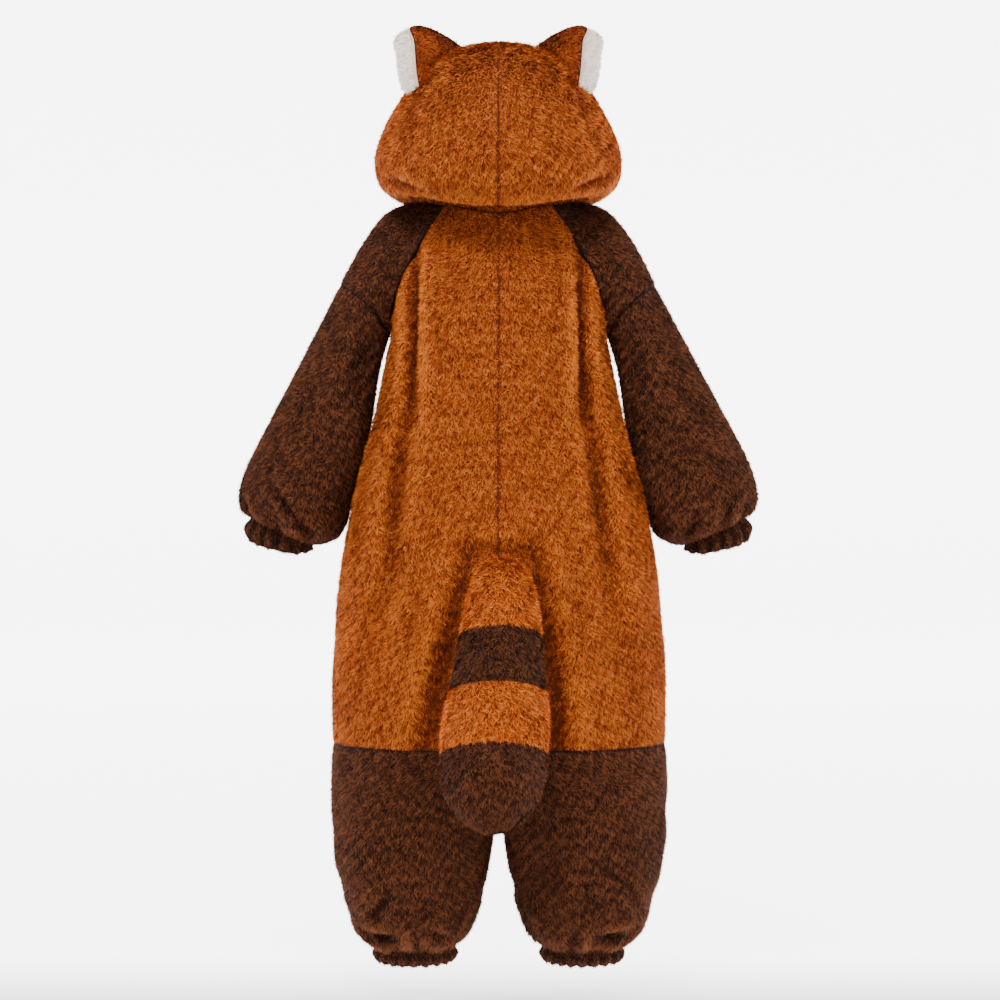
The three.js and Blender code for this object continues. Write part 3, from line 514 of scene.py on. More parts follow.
def knit_back(name, colour, shade):
    """The brushed knit back of the fleece, in fine columns."""
    finish, tree, shader, place = new_finish(name)
    cloud = add_node(tree, "ShaderNodeTexNoise", {}, place, Scale=60, Detail=4)
    bands = {"bands_direction": "X"}
    columns = add_node(tree, "ShaderNodeTexWave", bands, place, Scale=260, Distortion=1.5)
    fuzz = add_node(tree, "ShaderNodeTexNoise", {}, place, Scale=1300, Detail=2)
    mixed = add_node(tree, "ShaderNodeValToRGB", {"stops": [(0.25, shade), (0.75, colour)]}, cloud)
    height = columns * 0.6 + fuzz
    bump = add_node(tree, "ShaderNodeBump", {}, Strength=0.5, Distance=0.0005, Height=height)
    plug(shader, Base_Color=mixed, Roughness=0.86 + fuzz * 0.1, Normal=bump, Sheen_Weight=0.2)
    return finish


RUST = plush("rust_pile", paint(80, 28, 4), paint(152, 63, 11), paint(214, 117, 40), 0.16)
RUST_BACK = knit_back("rust_knit", paint(150, 70, 26), paint(122, 52, 16))


def turned(rows):
    """The same panel with its columns the other way round."""
    return rows[:, ::-1]


def other_side(rows):
    return turned(rows * np.array([-1, 1, 1]))


def sew_panel(node, rows, finish, back, seams, creases):
    """A cut panel of fleece: its cloth, with its pile on it."""
    rows, hollow = laid_cloth(rows, seams, creases)
    cloth = fit(cloth_piece(node + "_cloth", rows, False, [finish, back], seams, hollow), node)
    tufts = fit(pile_piece(node + "_pile", rows, False, finish, hollow, seams), node)


# The cut of a panel: width and length in metres, area in square metres
BACK_CUT, FRONT_CUT = (0.275, 0.64, 0.126), (0.27, 0.62, 0.123)
BODY_SEAMS = "top bottom first last"
for raglan, word, cut in ((RAGLAN_BACK, "back", BACK_CUT), (RAGLAN_FRONT, "front", FRONT_CUT)):
    left = body_panel(raglan)
    if word == "back":
        left = turned(left)
    for hand, rows in (("left", left), ("right", other_side(left))):
        sew_panel(f"{word}_{hand}", rows, RUST, RUST_BACK, BODY_SEAMS, BODY_CREASES)

# Raglan sleeves
# Brown coral fleece in two lengths: a yoke from the neck over the shoulder, and the lower sleeve in two
# halves sewn to it by a slanting seam. The lower sleeve is gathered into its cuff and rolls over it.

SHOULDER = dict(q=(0, 0.25, 0.5, 0.75, 1), x=(84, 111, 138, 164, 189), z=(6, 3, -12, -47, -94))
SLEEVE = dict(
    row=(0, 1, 2, 3, 4, 5, 6, 7, 8, 9),
    outer_x=(189, 213, 236, 266, 295.5, 310, 313, 309.5, 303, 299),
    outer_z=(-94, -140, -184, -238, -293, -327, -347, -362, -370, -374),
    inner_x=(130, 140.5, 146, 153.5, 167, 176.5, 183.5, 194, 211, 225),
    inner_z=(-158, -190, -220, -276, -334, -362, -381, -396, -404, -407),
    deep=(50, 53, 56, 60, 65, 66, 64, 58, 49, 40),
    lean=(0, 2, 4, 8, 12, 15, 17, 18, 18, 18),
)
GATHER_DEEP = 5
SLEEVE_GATHERS = 9
SLEEVE_CREASES = dict(
    back=(
        ((150, -150), (176, -236), 9, 3),
        ((-150, -152), (-174, -230), 9, 2.7),
        ((206, -190), (240, -262), 10, 2.2),
        ((-204, -200), (-236, -258), 10, 2),
        ((298, -344), (287, -376), 3.6, -3.4),
        ((304, -350), (295, -378), 4, 6.5),
        ((268, -332), (236, -378), 4.6, 7.5),
        ((237, -374), (222, -394), 6, 8),
        ((263, -380), (258, -396), 4, 5),
        ((-284, -338), (-268, -376), 4, 5),
        ((-262, -340), (-256, -384), 4, -3.4),
        ((-236, -370), (-224, -394), 6.5, 7.5),
        ((-300, -346), (-292, -378), 4, 3.6),
        ((246, -300), (280, -322), 9, 2.4),
        ((-226, -296), (-280, -312), 9, 2.6),
        ((96, -18), (124, -66), 8, 1.6),
        ((-98, -20), (-122, -62), 8, 1.6),
    ),
    front=(
        ((152, -154), (188, -240), 9, 3),
        ((-150, -150), (-184, -236), 9, 3.2),
        ((200, -262), (258, -276), 10, 3),
        ((-204, -256), (-262, -274), 10, 2.8),
        ((210, -310), (276, -334), 9, 2.4),
        ((-214, -306), (-270, -330), 9, 2.6),
    ),
)


def yoke_point(q, u):
    """u is 0 at the back raglan seam, 1 on top of the shoulder, 2 at the front raglan seam."""
    halves = []
    for raglan, face in ((RAGLAN_BACK, 1), (RAGLAN_FRONT, -1)):
        seam = tracks(raglan, "x y z", q)
        away = unit(tracks(raglan, "away_x away_y away_z", q)) * track(raglan, "reach", q)[..., None]
        top = vector(track(SHOULDER, "x", q), 0, track(SHOULDER, "z", q))
        over = mix(raglan["reach"][0], raglan["reach"][-1] * 0.93, smooth(q, 0, 1))
        halves.append(bezier(seam, away, top, vector(0, face * over, 0), np.where(u <= 1, u, 2 - u)))
    return np.where((u <= 1)[..., None], *halves)


def sleeve_point(table, row, u):
    """u is 0 beside the body, 1 on the outer side past the back, 2 at the body past the front."""
    lean = -track(table, "lean", row)
    inner = vector(track(table, "inner_x", row), lean, track(table, "inner_z", row))
    outer = vector(track(table, "outer_x", row), lean, track(table, "outer_z", row))
    cap = 1 - smooth(row, 0, 1) if table is SLEEVE else np.zeros_like(row)
    face = np.where(u <= 1, 1, -1)
    reach = face * 4 / 3 * track(table, "deep", row)
    last = RAGLAN_BACK["reach"][-1]
    away = unit(vector(0.08, face * 0.9, 0.42)) * last
    leave = mix(vector(0, reach, 0), away, cap[..., None])
    over = mix(reach, face * last * 0.93, cap)
    return bezier(inner, leave, outer, vector(0, over, 0), np.where(u <= 1, u, 2 - u))


def gathered(points, middle, turns, count, share):
    """Pleats round a tube about its middle, deepest where share is 1."""
    wave = np.cos(2 * math.pi * count * turns + 1.1 * np.sin(2 * math.pi * (count - 3) * turns + 0.7))
    return points + unit(points - middle) * (GATHER_DEEP * share * wave)[..., None]


BROWN = plush("brown_pile", paint(20, 7, 2), paint(62, 27, 11), paint(122, 68, 38), 0.1)
BROWN_BACK = knit_back("brown_knit", paint(84, 48, 32), paint(62, 32, 20))

q, u = np.meshgrid(np.linspace(0, 1, 22), np.linspace(0, 2, 40), indexing="ij")
yoke = turned(yoke_point(q, u))


def sleeve_half(start, end):
    rows = np.concatenate([np.linspace(0, 5, 32), np.linspace(5.2, 9, 18)])
    row, u = np.meshgrid(rows, np.linspace(start, end, 31), indexing="ij")
    share = smooth(row, 4.5, 8) * (1 - 0.5 * smooth(row, 8.3, 9))
    inner, outer = (sleeve_point(SLEEVE, row, np.full_like(u, end)) for end in (0.0, 1.0))
    return gathered(sleeve_point(SLEEVE, row, u), (inner + outer) / 2, u / 2, SLEEVE_GATHERS, share)


for hand, side in (("left", lambda rows: rows), ("right", other_side)):
    sew_panel("sleeve_yoke_" + hand, side(yoke), BROWN, BROWN_BACK,
              "bottom first last", SLEEVE_CREASES)
    for half, start, end in (("sleeve_back_", 1, 0), ("sleeve_front_", 2, 1)):
        sew_panel(half + hand, side(sleeve_half(start, end)), BROWN, BROWN_BACK,
                  "top bottom first last", SLEEVE_CREASES)

# Sleeve cuffs
# A band of the same brown fleece, folded and sewn to the sleeve's gathered end. Elastic run through it
# draws it in, so its pile is crushed between narrow ribs.

SLEEVE_CUFF = dict(
    row=(0, 1, 2),
    outer_x=(299, 306, 304),
    outer_z=(-374, -384, -395),
    inner_x=(225, 225, 228),
    inner_z=(-407, -411, -413),
    deep=(40, 43, 41),
    lean=(18, 18, 18),
)
CUFF_DIP = 8  # how much lower the cuff's end hangs behind
SLEEVE_RIBS = 14
RIB_HIGH = 2.2
RIB_SUNK = 3.2
CUFF_DEEP = 1.2  # the cloth lies this far under the cuff's outline
CUFF_PILE = dict(spacing=1.3, long=3, wide=1.5, lift=14, swirl=14)


def tucked(rows):
    """A cuff's rows with one more above them, which reaches up inside the gathers."""
    down = rows[-1].mean(axis=0) - rows[0].mean(axis=0)
    above = mix(rows[0], rows[0].mean(axis=0), 0.06) - unit(down) * 7
    return np.concatenate([above[None], rows])


def cuff(node, rows, ribs):
    """A gathered band: ribs outside, plain inside, and short pile."""
    turn = np.linspace(0, 1, rows.shape[1] + 1)[:-1]
    turn = turn + 0.12 / ribs * np.sin(6 * math.pi * turn + 1)
    normals = facing_out(rows, True)
    ends = np.sin(math.pi * np.linspace(0.06, 0.9, len(rows)))[:, None] ** 0.5
    rib = (np.cos(2 * math.pi * ribs * turn) * 0.5 + 0.5) ** 1.3
    raised = (RIB_HIGH + RIB_SUNK) * ends * rib - RIB_SUNK * ends
    rows = rows + normals * (raised - CUFF_DEEP)[..., None]
    # hollow darkens the gaps between the ribs and lightens their tops: painted shade and painted light.
    hollow = 4.2 * ends * (1 - rib) ** 2 - 1.5 * rib
    cloth = cloth_piece(node + "_cloth", rows, True, [BROWN, BROWN_BACK], hollow=hollow)
    tufts = fit(pile_piece(node + "_pile", rows, True, BROWN, hollow, **CUFF_PILE), node)
    fit(cloth, node)


row, u = np.meshgrid(np.linspace(0, 2, 10), np.linspace(0, 2, SLEEVE_RIBS * 10 + 1)[:-1], indexing="ij")
cuff_rows = sleeve_point(SLEEVE_CUFF, row, u)
behind = smooth(cuff_rows[..., 1] + SLEEVE_CUFF["lean"][0], 0, 40)
cuff_rows[..., 2] -= CUFF_DIP * smooth(row, 0, 2) * behind
cuff_rows = turned(tucked(cuff_rows))
cuff("sleeve_cuff_left", cuff_rows, SLEEVE_RIBS)
cuff("sleeve_cuff_right", other_side(cuff_rows), SLEEVE_RIBS)

# Lower legs
# Brown coral fleece tubes of a back and a front half each, sewn to the body by a level seam across the
# thighs. They are full at the side, flatter between the legs, and gathered into the ankle cuffs.

LEG = dict(
    z=(LEG_TOP, -662, -690, -730, -770, -805, -838, -862, -876, -883, -888),
    outer=(200, 201, 201.5, 200.5, 197.5, 190.5, 180.5, 170.5, 158, 149, 148),
    split=(0.2, 34, 66, 90, 100, 101, 101, 100, 100, 100, 100),
    inner=(0.2, 1.5, 3, 4.5, 8, 14, 21, 29.5, 42, 51, 52),
    back=(117, 115, 111, 105, 100, 95, 87, 75, 61, 48, 46),
    front=(109, 108, 106, 103, 100, 95, 87, 75, 61, 48, 46),
)
LEG_GATHERS = 10
LEG_CREASES = dict(
    back=(
        ((-112, -772), (-150, -796), 6, 4.4),
        ((-150, -796), (-170, -834), 6, 4.2),
        ((-96, -800), (-112, -822), 7, 3.4),
        ((-160, -846), (-122, -853), 4.5, -3.2),
        ((-152, -861), (-118, -867), 7.5, 8.5),
        ((-104, -846), (-101, -874), 5.5, -4),
        ((-88, -856), (-86, -878), 5.5, 8),
        ((-34, -826), (-48, -858), 5, -2.6),
        ((124, -800), (146, -836), 4.6, 7.5),
        ((168, -846), (128, -855), 4.5, -3.6),
        ((156, -862), (122, -868), 8, 9),
        ((110, -846), (107, -876), 5.5, -4.5),
        ((98, -858), (95, -880), 5.5, 9),
        ((177, -809), (155, -828), 4.5, -3),
        ((172, -812), (150, -833), 4.5, 4),
        ((82, -856), (56, -866), 6, 4.5),
        ((29, -826), (43, -858), 5, -3),
        ((-70, -700), (-30, -670), 11, 2.4),
        ((70, -704), (28, -668), 11, 2.6),
        ((176, -800), (186, -836), 8, 2.6),
        ((60, -806), (96, -838), 9, 2.2),
        ((130, -812), (154, -850), 7, 2.4),
    ),
    front=(
        ((60, -690), (22, -664), 10, 3),
        ((-58, -692), (-24, -662), 10, 3),
        ((70, -786), (140, -806), 10, 3),
        ((-66, -792), (-136, -800), 10, 2.8),
    ),
    left=(
        ((-50, -700), (20, -760), 12, 2.6),
        ((30, -800), (-30, -826), 10, 2.6),
    ),
    right=(
        ((40, -690), (-24, -756), 12, 2.6),
        ((-30, -806), (26, -828), 10, 2.6),
    ),
)


def leg_point(table, z, u):
    """u is 0 at the back, 1 at the side, 2 at the front, 3 between the legs, 4 at the back again."""
    split = track(table, "split", z)
    back = vector(split, track(table, "back", z), z)
    front = vector(split, -track(table, "front", z), z)
    side, inside = (vector(track(table, name, z), 0, z) for name in ("outer", "inner"))
    ends = np.stack([back, side, front, inside, back])
    quarter = np.minimum(u.astype(int), 3)
    rows, columns = np.indices(u.shape)
    a, d = ends[quarter, rows, columns], ends[quarter + 1, rows, columns]
    width, depth = (d - a) * [0.6, 0, 0], (d - a) * [0, 0.6, 0]
    along = (quarter % 2 == 0)[..., None]
    return bezier(a, np.where(along, width, depth), d, -np.where(along, depth, width), u - quarter)


def leg_half(start, end):
    levels = np.concatenate([np.linspace(LEG_TOP, -826, 24), np.linspace(-831, -888, 16)])
    z, u = np.meshgrid(levels, np.linspace(start, end, 41) % 4, indexing="ij")
    share = smooth(-z, 826, 876) * (1 - 0.6 * smooth(-z, 880, 888))
    middle = vector(track(LEG, "split", z), 0, z)
    return gathered(leg_point(LEG, z, u), middle, u / 4, LEG_GATHERS, share)


for hand, side in (("left", lambda rows: rows), ("right", other_side)):
    for half, start, end in (("leg_back_", 5, 3), ("leg_front_", 3, 1)):
        sew_panel(half + hand, side(leg_half(start, end)), BROWN, BROWN_BACK,
                  "top bottom first last", LEG_CREASES)

# Ankle cuffs
# The same bands of brown fleece over elastic as at the wrists, a little wider, sewn to the legs'
# gathered ends.

HEM = -903.5
LEG_CUFF = dict(
    z=(-888, -895, HEM),
    outer=(148, 150.5, 145),
    split=(100, 100, 100),
    inner=(52, 49.5, 55),
    back=(46, 48.5, 43.5),
    front=(46, 48.5, 43.5),
)
LEG_RIBS = 20
z, u = np.meshgrid(np.linspace(-888, HEM, 10), np.linspace(0, 4, LEG_RIBS * 10 + 1)[:-1], indexing="ij")
cuff_rows = turned(tucked(leg_point(LEG_CUFF, z, u)))
cuff("leg_cuff_left", cuff_rows, LEG_RIBS)
cuff("leg_cuff_right", other_side(cuff_rows), LEG_RIBS)

# Neck band
# A narrow folded strip of rust coral fleece that joins the hood to the body and the sleeves' yokes. It
# is open at the centre front.

BAND_TALL = 10
SEAM_GAP = 0.36


def neckline(u):
    """u is 0 at the centre back, 2 on the shoulder and 4 at the centre front."""
    zero = np.zeros_like(u)
    behind = body_point(RAGLAN_BACK, zero, np.clip(u, 0, 1))
    over = yoke_point(zero, np.clip(u - 1, 0, 2))
    before = body_point(RAGLAN_FRONT, zero, np.clip(4 - u, 0, 1))
    u = u[..., None]
    return np.where(u <= 1, behind, np.where(u <= 3, over, before))


def band_top(u, lift=0.0):
    return neckline(u) * [0.975, 0.975, 1] + [0, 0, BAND_TALL + lift]


u = np.linspace(0, 3.98, 96)
low = neckline(u) * [0.97, 0.97, 1] - [0, 0, 6]  # tucked under the body's edge
half = np.stack([mix(band_top(u, 5), low, share) for share in np.linspace(0, 1, 8)])
band = np.concatenate([half[:, ::-1], other_side(half[:, 1:])[:, ::-1]], axis=1)
sunk = facing_out(band, False) * (3.4 - 1.2 * np.sin(math.pi * np.linspace(0, 1, 8)))[:, None, None]
band = band - sunk
cloth = fit(cloth_piece("neck_band_cloth", band, False, [RUST, RUST_BACK]), "neck_band")
tufts = fit(pile_piece("neck_band_pile", band, False, RUST, long=4), "neck_band")

# Hood
# Two halves of rust coral fleece with a seam over the crown and down the back, full enough to droop
# behind the neck, and sewn to the neck band. The face edge is left open.

HOOD = dict(
    row=tuple(range(13)),
    side=(0, 42, 70, 91, 107, 119, 132, 142, 148, 145, 134, 117, 99),
    side_z=(191, 188, 176, 159, 140, 123, 100, 76, 52, 31, 17, 11, 12),
    back=(46, 78, 98, 112, 120, 125, 129, 131, 131, 125, 114, 99, 83),
    back_z=(190, 179, 161, 139, 117, 96, 73, 51, 30, 11, -3, -9, -9),
    front=(40, 64, 78, 86, 89, 91, 93, 94, 94, 92, 88, 82, 75),
    front_z=(187, 179, 166, 152, 141, 119, 88, 62, 36, 11, -8, -20, -26),
    edge=(0, 0, 0, 0, 42, 62, 73, 81, 83, 79, 69, 52, 35),
)
HOOD_SQUARE = 2.15
HOOD_FRONT = 3.78
HOOD_CREASES = dict(
    back=(
        ((90, 134), (112, 76), 6, 4.6),
        ((-88, 136), (-110, 72), 6, 4.2),
        ((92, 5), (136, 27), 4.5, 7),
        ((-90, 6), (-135, 30), 4.5, 7.5),
        ((40, 14), (92, 5), 7, 2),
        ((-44, 12), (-90, 6), 7, 2.2),
        ((40, 160), (58, 108), 10, 1.4),
        ((-42, 158), (-62, 112), 10, 1.4),
    ),
    left=(
        ((-30, 110), (10, 30), 10, 2.6),
        ((-70, 60), (-40, 6), 8, 2.2),
    ),
    right=(
        ((-28, 106), (14, 34), 10, 2.6),
        ((-68, 56), (-42, 4), 8, 2.2),
    ),
)


def hood_ring(row, share):
    """One level from the centre back to the face edge. The last is the top of the neck band."""
    if row == len(HOOD["row"]):
        return band_top(share * HOOD_FRONT, 4 * SEAM_GAP)
    at = {name: column[row] for name, column in HOOD.items()}
    last = -math.acos((at["edge"] / at["side"]) ** (HOOD_SQUARE / 2)) if row else -math.pi / 2
    angle = mix(math.pi / 2, last, share)
    across = np.maximum(np.cos(angle), 0) ** (2 / HOOD_SQUARE)
    along = np.abs(np.sin(angle)) ** (2 / HOOD_SQUARE)
    y = np.where(angle > 0, at["back"], -at["front"]) * along
    end = np.where(angle > 0, at["back_z"], at["front_z"])
    return vector(at["side"] * across, y, mix(at["side_z"], end, np.sin(angle) ** 2))


def refined(rows, count):
    """More rows on smooth curves through the given ones."""
    place = np.arange(len(rows), dtype=float)
    at = np.linspace(0, len(rows) - 1, count)
    flat = rows.reshape(len(rows), -1)
    columns = [track(dict(place=place, value=column), "value", at) for column in flat.T]
    return np.stack(columns, axis=-1).reshape(count, *rows.shape[1:])


share = np.linspace(0, 1, 46)
hood = refined(np.stack([hood_ring(row, share) for row in range(len(HOOD["row"]) + 1)]), 58)
hood[..., 0] = np.maximum(hood[..., 0], 0.2)
hood = turned(hood)
for hand, rows in (("left", hood), ("right", other_side(hood))):
    sew_panel("hood_" + hand, rows, RUST, RUST_BACK,
              "top last" if hand == "left" else "top first", HOOD_CREASES)

# Tail
# Four tubes of coral fleece sewn end to end, rust and brown by turns, stuffed with loose fibre. The
# tail is sewn to the back at its root and leans out over the seat.

TAIL_LONG = 315
TAIL = dict(top_y=115, top_z=-420, lean=math.radians(20), sway=10)
TAIL_SHAPE = dict(
    s=(0, 6, 17, 33, 57, 90, 128, 157, 196, 230, 254, 272, 288, 300, 309, TAIL_LONG),
    r=(7, 20, 30, 37, 42, 46.5, 51.5, 55.5, 59.5, 59.8, 58, 53, 45, 35, 22, 8),
)
# A lighter copy of the rust pile for the tail, painted light: the tail leans out and faces up towards
# the key light.
LIT_TAIL_RUST = plush("lit_tail_rust_pile", paint(100, 38, 6), paint(182, 80, 15), paint(236, 134, 48), 0.2)
TAIL_PIECES = (
    ("tail_root", 0, 90, LIT_TAIL_RUST, "rust_plush"),
    ("tail_ring", 90, 157, BROWN, "brown_plush"),
    ("tail_middle", 157, 226, LIT_TAIL_RUST, "rust_plush"),
    ("tail_tip", 226, TAIL_LONG, BROWN, "brown_plush"),
)
TAIL_SIDES = 60
axis = np.array([0, math.sin(TAIL["lean"]), -math.cos(TAIL["lean"])])
outward = np.array([0, math.cos(TAIL["lean"]), math.sin(TAIL["lean"])])
back_left = turned(body_panel(RAGLAN_BACK))
back_points = np.concatenate([back_left, other_side(back_left)[:, 1:]], axis=1).reshape(-1, 3)


def back_face(points):
    """How far back the body's surface lies at the height and width of points."""
    found = []
    for chunk in np.array_split(points, 40):
        across, up = (chunk[:, None, i] - back_points[None, :, i] for i in (0, 2))
        away = np.hypot(across, up)
        found.append(back_points[away.argmin(axis=1), 1])
    return np.concatenate(found)


def capped(name, rows, finish):
    """A closed body: a tube with its ends drawn together."""
    high, wide = rows.shape[:2]
    ends = np.stack([rows[0].mean(axis=0), rows[-1].mean(axis=0)])
    faces = grid_faces(high, wide, True)
    around = np.arange(wide)
    after = (around + 1) % wide
    below = (high - 1) * wide
    first = np.stack([np.full(wide, high * wide), around, after], axis=-1)
    last = np.stack([np.full(wide, high * wide + 1), below + after, below + around], axis=-1)
    triangles = np.concatenate([faces[:, [0, 1, 2]], faces[:, [0, 2, 3]], first, last])
    return add_piece(name, np.concatenate([rows.reshape(-1, 3), ends]), triangles, [finish])


def stuffed(node, rows, finish, slot, fill, bare=0, **pile):
    """A body of cloth over stuffing, with pile on its rows after the bare ones."""
    body = fit(capped(node + "_body", rows, finish), node)
    fit(pile_piece(node + "_pile", rows[bare:], True, finish, **pile), node)


for node, start, end, finish, slot in TAIL_PIECES:
    edge = 0 if start == 0 else SEAM_GAP / 2
    s = np.linspace(start + edge, end - SEAM_GAP / 2, int((end - start) / 3))
    turn = np.linspace(0, 2 * math.pi, TAIL_SIDES + 1)[:-1]
    radius = track(TAIL_SHAPE, "r", s) - 1.6
    for seam in {start, end} - {0, TAIL_LONG}:
        radius = radius - 0.8 * nearness(s - seam, 5)
    radius = np.maximum(radius, 2)[:, None, None]
    spoke = outward * np.cos(turn)[:, None] - np.array([1, 0, 0]) * np.sin(turn)[:, None]
    sway = TAIL["sway"] * (smooth(s, 40, 300) - 0.35)
    middle = vector(sway, TAIL["top_y"], TAIL["top_z"])[:, None] + axis * s[:, None, None]
    rows = middle + spoke * radius
    rows = rows + spoke * (0.8 * ripple(rows, 40, 12))[..., None]
    surface = back_face(rows.reshape(-1, 3)).reshape(rows.shape[:2]) + 0.6
    rows[..., 1] = np.maximum(rows[..., 1], surface)
    stuffed(node, rows, finish, slot, 0.8, keep=lambda root: root[:, 1] > back_face(root) + 1.6)

# Ears
# Each ear is a rust back and a white front of coral fleece, sewn together round their outline, lightly
# stuffed and sewn to the hood beside its crown.

WHITE = plush("white_pile", paint(214, 190, 170), paint(254, 242, 230), paint(255, 253, 248), 0.3)
EAR_OUTLINE = dict(
    x=(37, 51, 67, 82, 95, 105, 100, 98, 96.5, 93, 88, 71, 53),
    y=(14, 18, 24, 31, 38, 45, 51, 55, 58, 60, 58, 46, 28),
    z=(181, 194, 203, 208.5, 210, 205, 190, 170, 151, 132, 120, 141, 163),
)
# A darker, more saturated copy of the rust pile for the backs of the ears.
EAR_RUST = plush("ear_rust_pile", paint(62, 19, 2), paint(128, 49, 7), paint(182, 88, 26), 0.12)
EAR_HALVES = dict(
    ear_back=dict(towards=(-0.55, 0.8, 0.1), deep=11, blunt=2, finish=EAR_RUST, slot="rust_plush",
                  bare=13, pile=dict(long=5)),
    ear_front=dict(towards=(0.9, -0.42, -0.1), deep=38, blunt=4, finish=WHITE, slot="white_plush",
                   bare=14, pile=dict(long=5.4, wide=1.8, lift=20)),
)


def closed_curve(points, count):
    """A smooth closed curve through points."""
    place = np.arange(len(points) + 6, dtype=float) - 3
    looped = np.concatenate([points[-3:], points, points[:3]])
    at = np.linspace(0, len(points), count + 1)[:-1]
    return np.stack([track(dict(place=place, value=c), "value", at) for c in looped.T], axis=-1)


outline = closed_curve(vector(*EAR_OUTLINE.values()), 60)
middle = vector(*EAR_OUTLINE.values()).mean(axis=0)
for name, half in EAR_HALVES.items():
    away = unit(np.array(half["towards"]))
    share = np.sin(np.linspace(0, 1, 15) * math.pi / 2)
    dome, flat = [], []
    for part in share[::-1][:-1]:
        drawn_in = mix(middle, outline, max(part - 0.05, 0))
        swell = (half["deep"] - PILE_DEEP) * (1 - part ** half["blunt"]) ** 0.6
        dome.append(drawn_in + away * (swell + SEAM_GAP))
        flat.append(mix(middle, outline, part) + away * SEAM_GAP / 2)
    rows = np.stack(flat[:0:-1] + dome)
    if name == "ear_back":
        rows = turned(rows)
    for hand, side in (("left", rows), ("right", other_side(rows))):
        stuffed(f"{name}_{hand}", side, half["finish"], half["slot"], 0.5, half["bare"], **half["pile"])

# Front closing
# A plain placket of folded rust fleece down the centre front, topstitched along both edges, with five
# brown resin buttons sewn on it.

PLACKET = dict(half=15, top=-40, bottom=-486)
BUTTON = dict(count=5, first=-56, pitch=96, lift=4.6)
BUTTON_PROFILE = dict(
    radius=(0.4, 5, 7.2, 8.3, 9.4, 10.3, 10.5, 10.2, 8.6, 0.4),
    height=(1.9, 1.9, 2.3, 3.1, 3.4, 2.8, 1.7, 0.8, 0, 0),
)


def front_at(x, z):
    """A point of the front's outer face, at a distance from the middle and a height."""
    share = np.linspace(0, 1, 900)
    if z < UNDERARM_Z:
        line = body_point(RAGLAN_FRONT, np.full(900, float(z)), share)
    else:
        levels = np.linspace(0, 1, 900)
        level = np.interp(-z, -track(RAGLAN_FRONT, "centre_z", levels), levels)
        line = body_point(RAGLAN_FRONT, np.full(900, level), share)
    return np.array([x, np.interp(abs(x), line[:, 0], line[:, 1]), z])


rows = np.stack([
    np.stack([front_at(x, z) for x in np.linspace(-PLACKET["half"], PLACKET["half"], 15)])
    for z in np.linspace(PLACKET["top"], PLACKET["bottom"], 120)
])
rows = rows + facing_out(rows, False) * 0.9
stitches = nearness(np.linspace(-1, 1, 15) - np.array([[-0.72], [0.72]]), 0.16).sum(axis=0)
rows = rows - facing_out(rows, False) * (0.8 * stitches)[None, :, None]
cloth = fit(cloth_piece("placket_cloth", rows, False, [RUST, RUST_BACK]), "placket")
tufts = fit(pile_piece("placket_pile", rows, False, RUST, long=4, lift=18), "placket")


def button_finish():
    finish, tree, shader, place = new_finish("button_resin")
    swirl = add_node(tree, "ShaderNodeTexNoise", {}, place, Scale=220, Detail=3, Distortion=1.5)
    stops = [(0.3, paint(42, 22, 12)), (0.7, paint(88, 50, 28))]
    colour = add_node(tree, "ShaderNodeValToRGB", {"stops": stops}, swirl)
    bump = add_node(tree, "ShaderNodeBump", {}, Strength=0.1, Distance=0.0003, Height=swirl)
    plug(shader, Base_Color=colour, Roughness=0.28 + swirl * 0.2, Normal=bump)
    return finish


RESIN = button_finish()
turn = np.linspace(2 * math.pi, 0, 49)[:-1, None]
radius, height = (np.array(column)[:, None, None] for column in BUTTON_PROFILE.values())
for number in range(BUTTON["count"]):
    z = BUTTON["first"] - number * BUTTON["pitch"]
    up = unit(front_at(0, z + 8) - front_at(0, z - 8))
    out = unit(np.cross([1, 0, 0], up))
    spoke = np.array([1, 0, 0]) * np.cos(turn) + up * np.sin(turn)
    rows = front_at(0, z) + out * (BUTTON["lift"] + height) + spoke * radius
    node = f"button_{number + 1}"
    fit(capped(node + "_resin", rows, RESIN), node)

# Setting
# A round sweep of pale paper under and about the garment, which glows brightly behind it and faintly in
# front as painted light, with a large soft light above and a fainter one at the side.

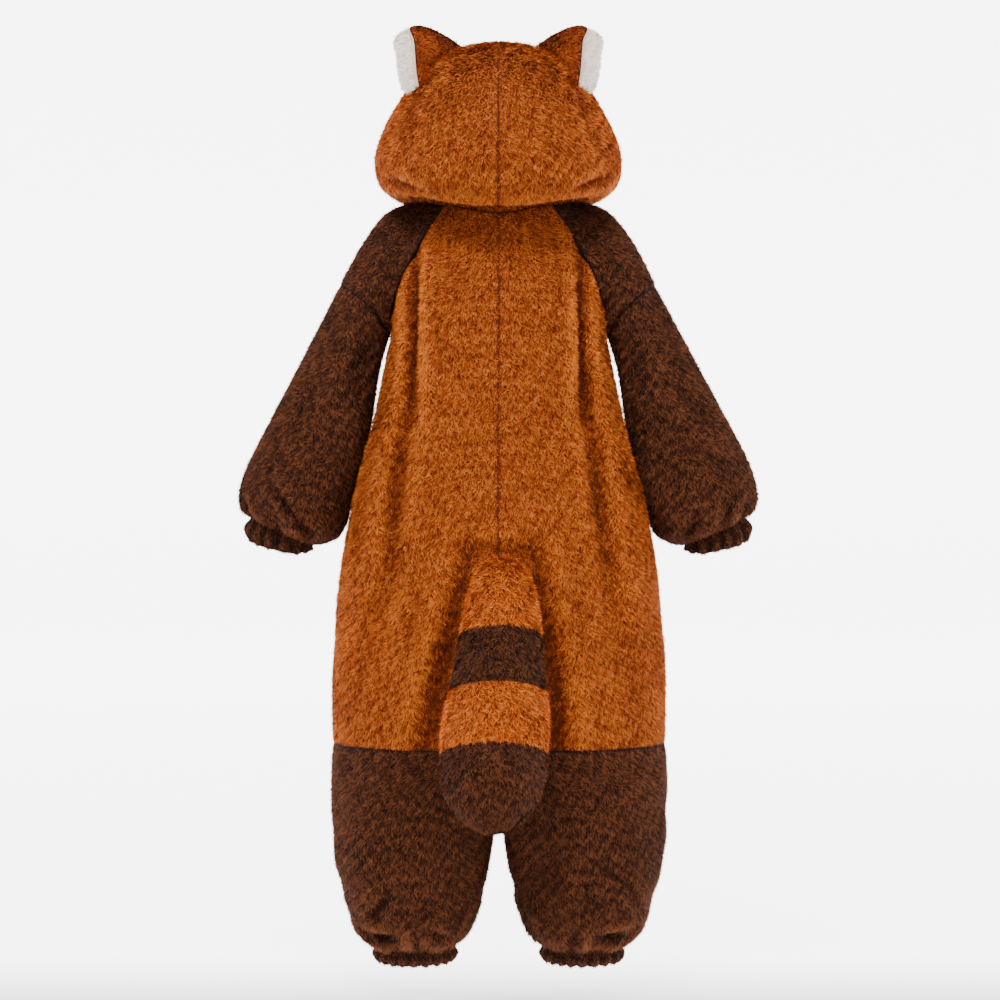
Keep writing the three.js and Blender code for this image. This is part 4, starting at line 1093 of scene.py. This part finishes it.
FLOOR_Z = -0.935
SWEEP = dict(radius=6, bend=0.8, wall=4.4)
paper, tree, shader, place = new_finish("pale_paper")
depth = add_node(tree, "ShaderNodeSeparateXYZ", {}, place, output="Y")
# The paper's glow, bright behind the garment and fading towards the camera, is painted light; it also
# lights the garment.
stops = [(0, (1, 1, 1, 1)), (1, (0.06, 0.06, 0.06, 1))]
glow = add_node(tree, "ShaderNodeValToRGB", {"stops": stops}, depth * 3 + 0.5)
plug(shader, Base_Color=(0.55, 0.55, 0.55, 1), Roughness=0.9, Emission_Color=glow, Emission_Strength=5)
bend = np.linspace(0, math.pi / 2, 12)
flat_end = SWEEP["radius"] - SWEEP["bend"]
out = np.concatenate([[0.0001, 2, 4], flat_end + SWEEP["bend"] * np.sin(bend), [SWEEP["radius"]]])
up = np.concatenate([[0, 0, 0], SWEEP["bend"] * (1 - np.cos(bend)), [SWEEP["wall"]]]) + FLOOR_Z
turn = np.linspace(0, 2 * math.pi, 97)[:-1]
rows = vector(out[:, None] * np.cos(turn), out[:, None] * np.sin(turn), up[:, None]) * 1000
faces = grid_faces(len(out), len(turn), True)
add_piece("paper_sweep", rows.reshape(-1, 3), faces, [paper])

world = bpy.data.worlds.new("studio")
bpy.context.scene.world = world
world.use_nodes = True
plug(world.node_tree.nodes["Background"], Color=(1, 1, 1, 1), Strength=0.25)


def soft_light(name, place, aim, size, power):
    lamp = bpy.data.lights.new(name, "AREA")
    lamp.size, lamp.energy = size, power
    light = bpy.data.objects.new(name, lamp)
    bpy.context.scene.collection.objects.link(light)
    light.location = place
    light.rotation_euler = (Vector(aim) - Vector(place)).to_track_quat("-Z", "Y").to_euler()


soft_light("key", (0.4, 1.4, 2.5), (0, 0, -0.35), 0.8, 112)
soft_light("fill", (-2.2, 2.0, 0.2), (0, 0, -0.3), 2.0, 12)

lens = bpy.data.cameras.new("camera")
lens.lens = 78
camera = bpy.data.objects.new("camera", lens)
bpy.context.scene.collection.objects.link(camera)
camera.location = (-0.0018, 2.6, -0.3516)
camera.rotation_euler = (math.pi / 2, 0, math.pi)
bpy.context.scene.camera = camera

bpy.context.view_layer.update()
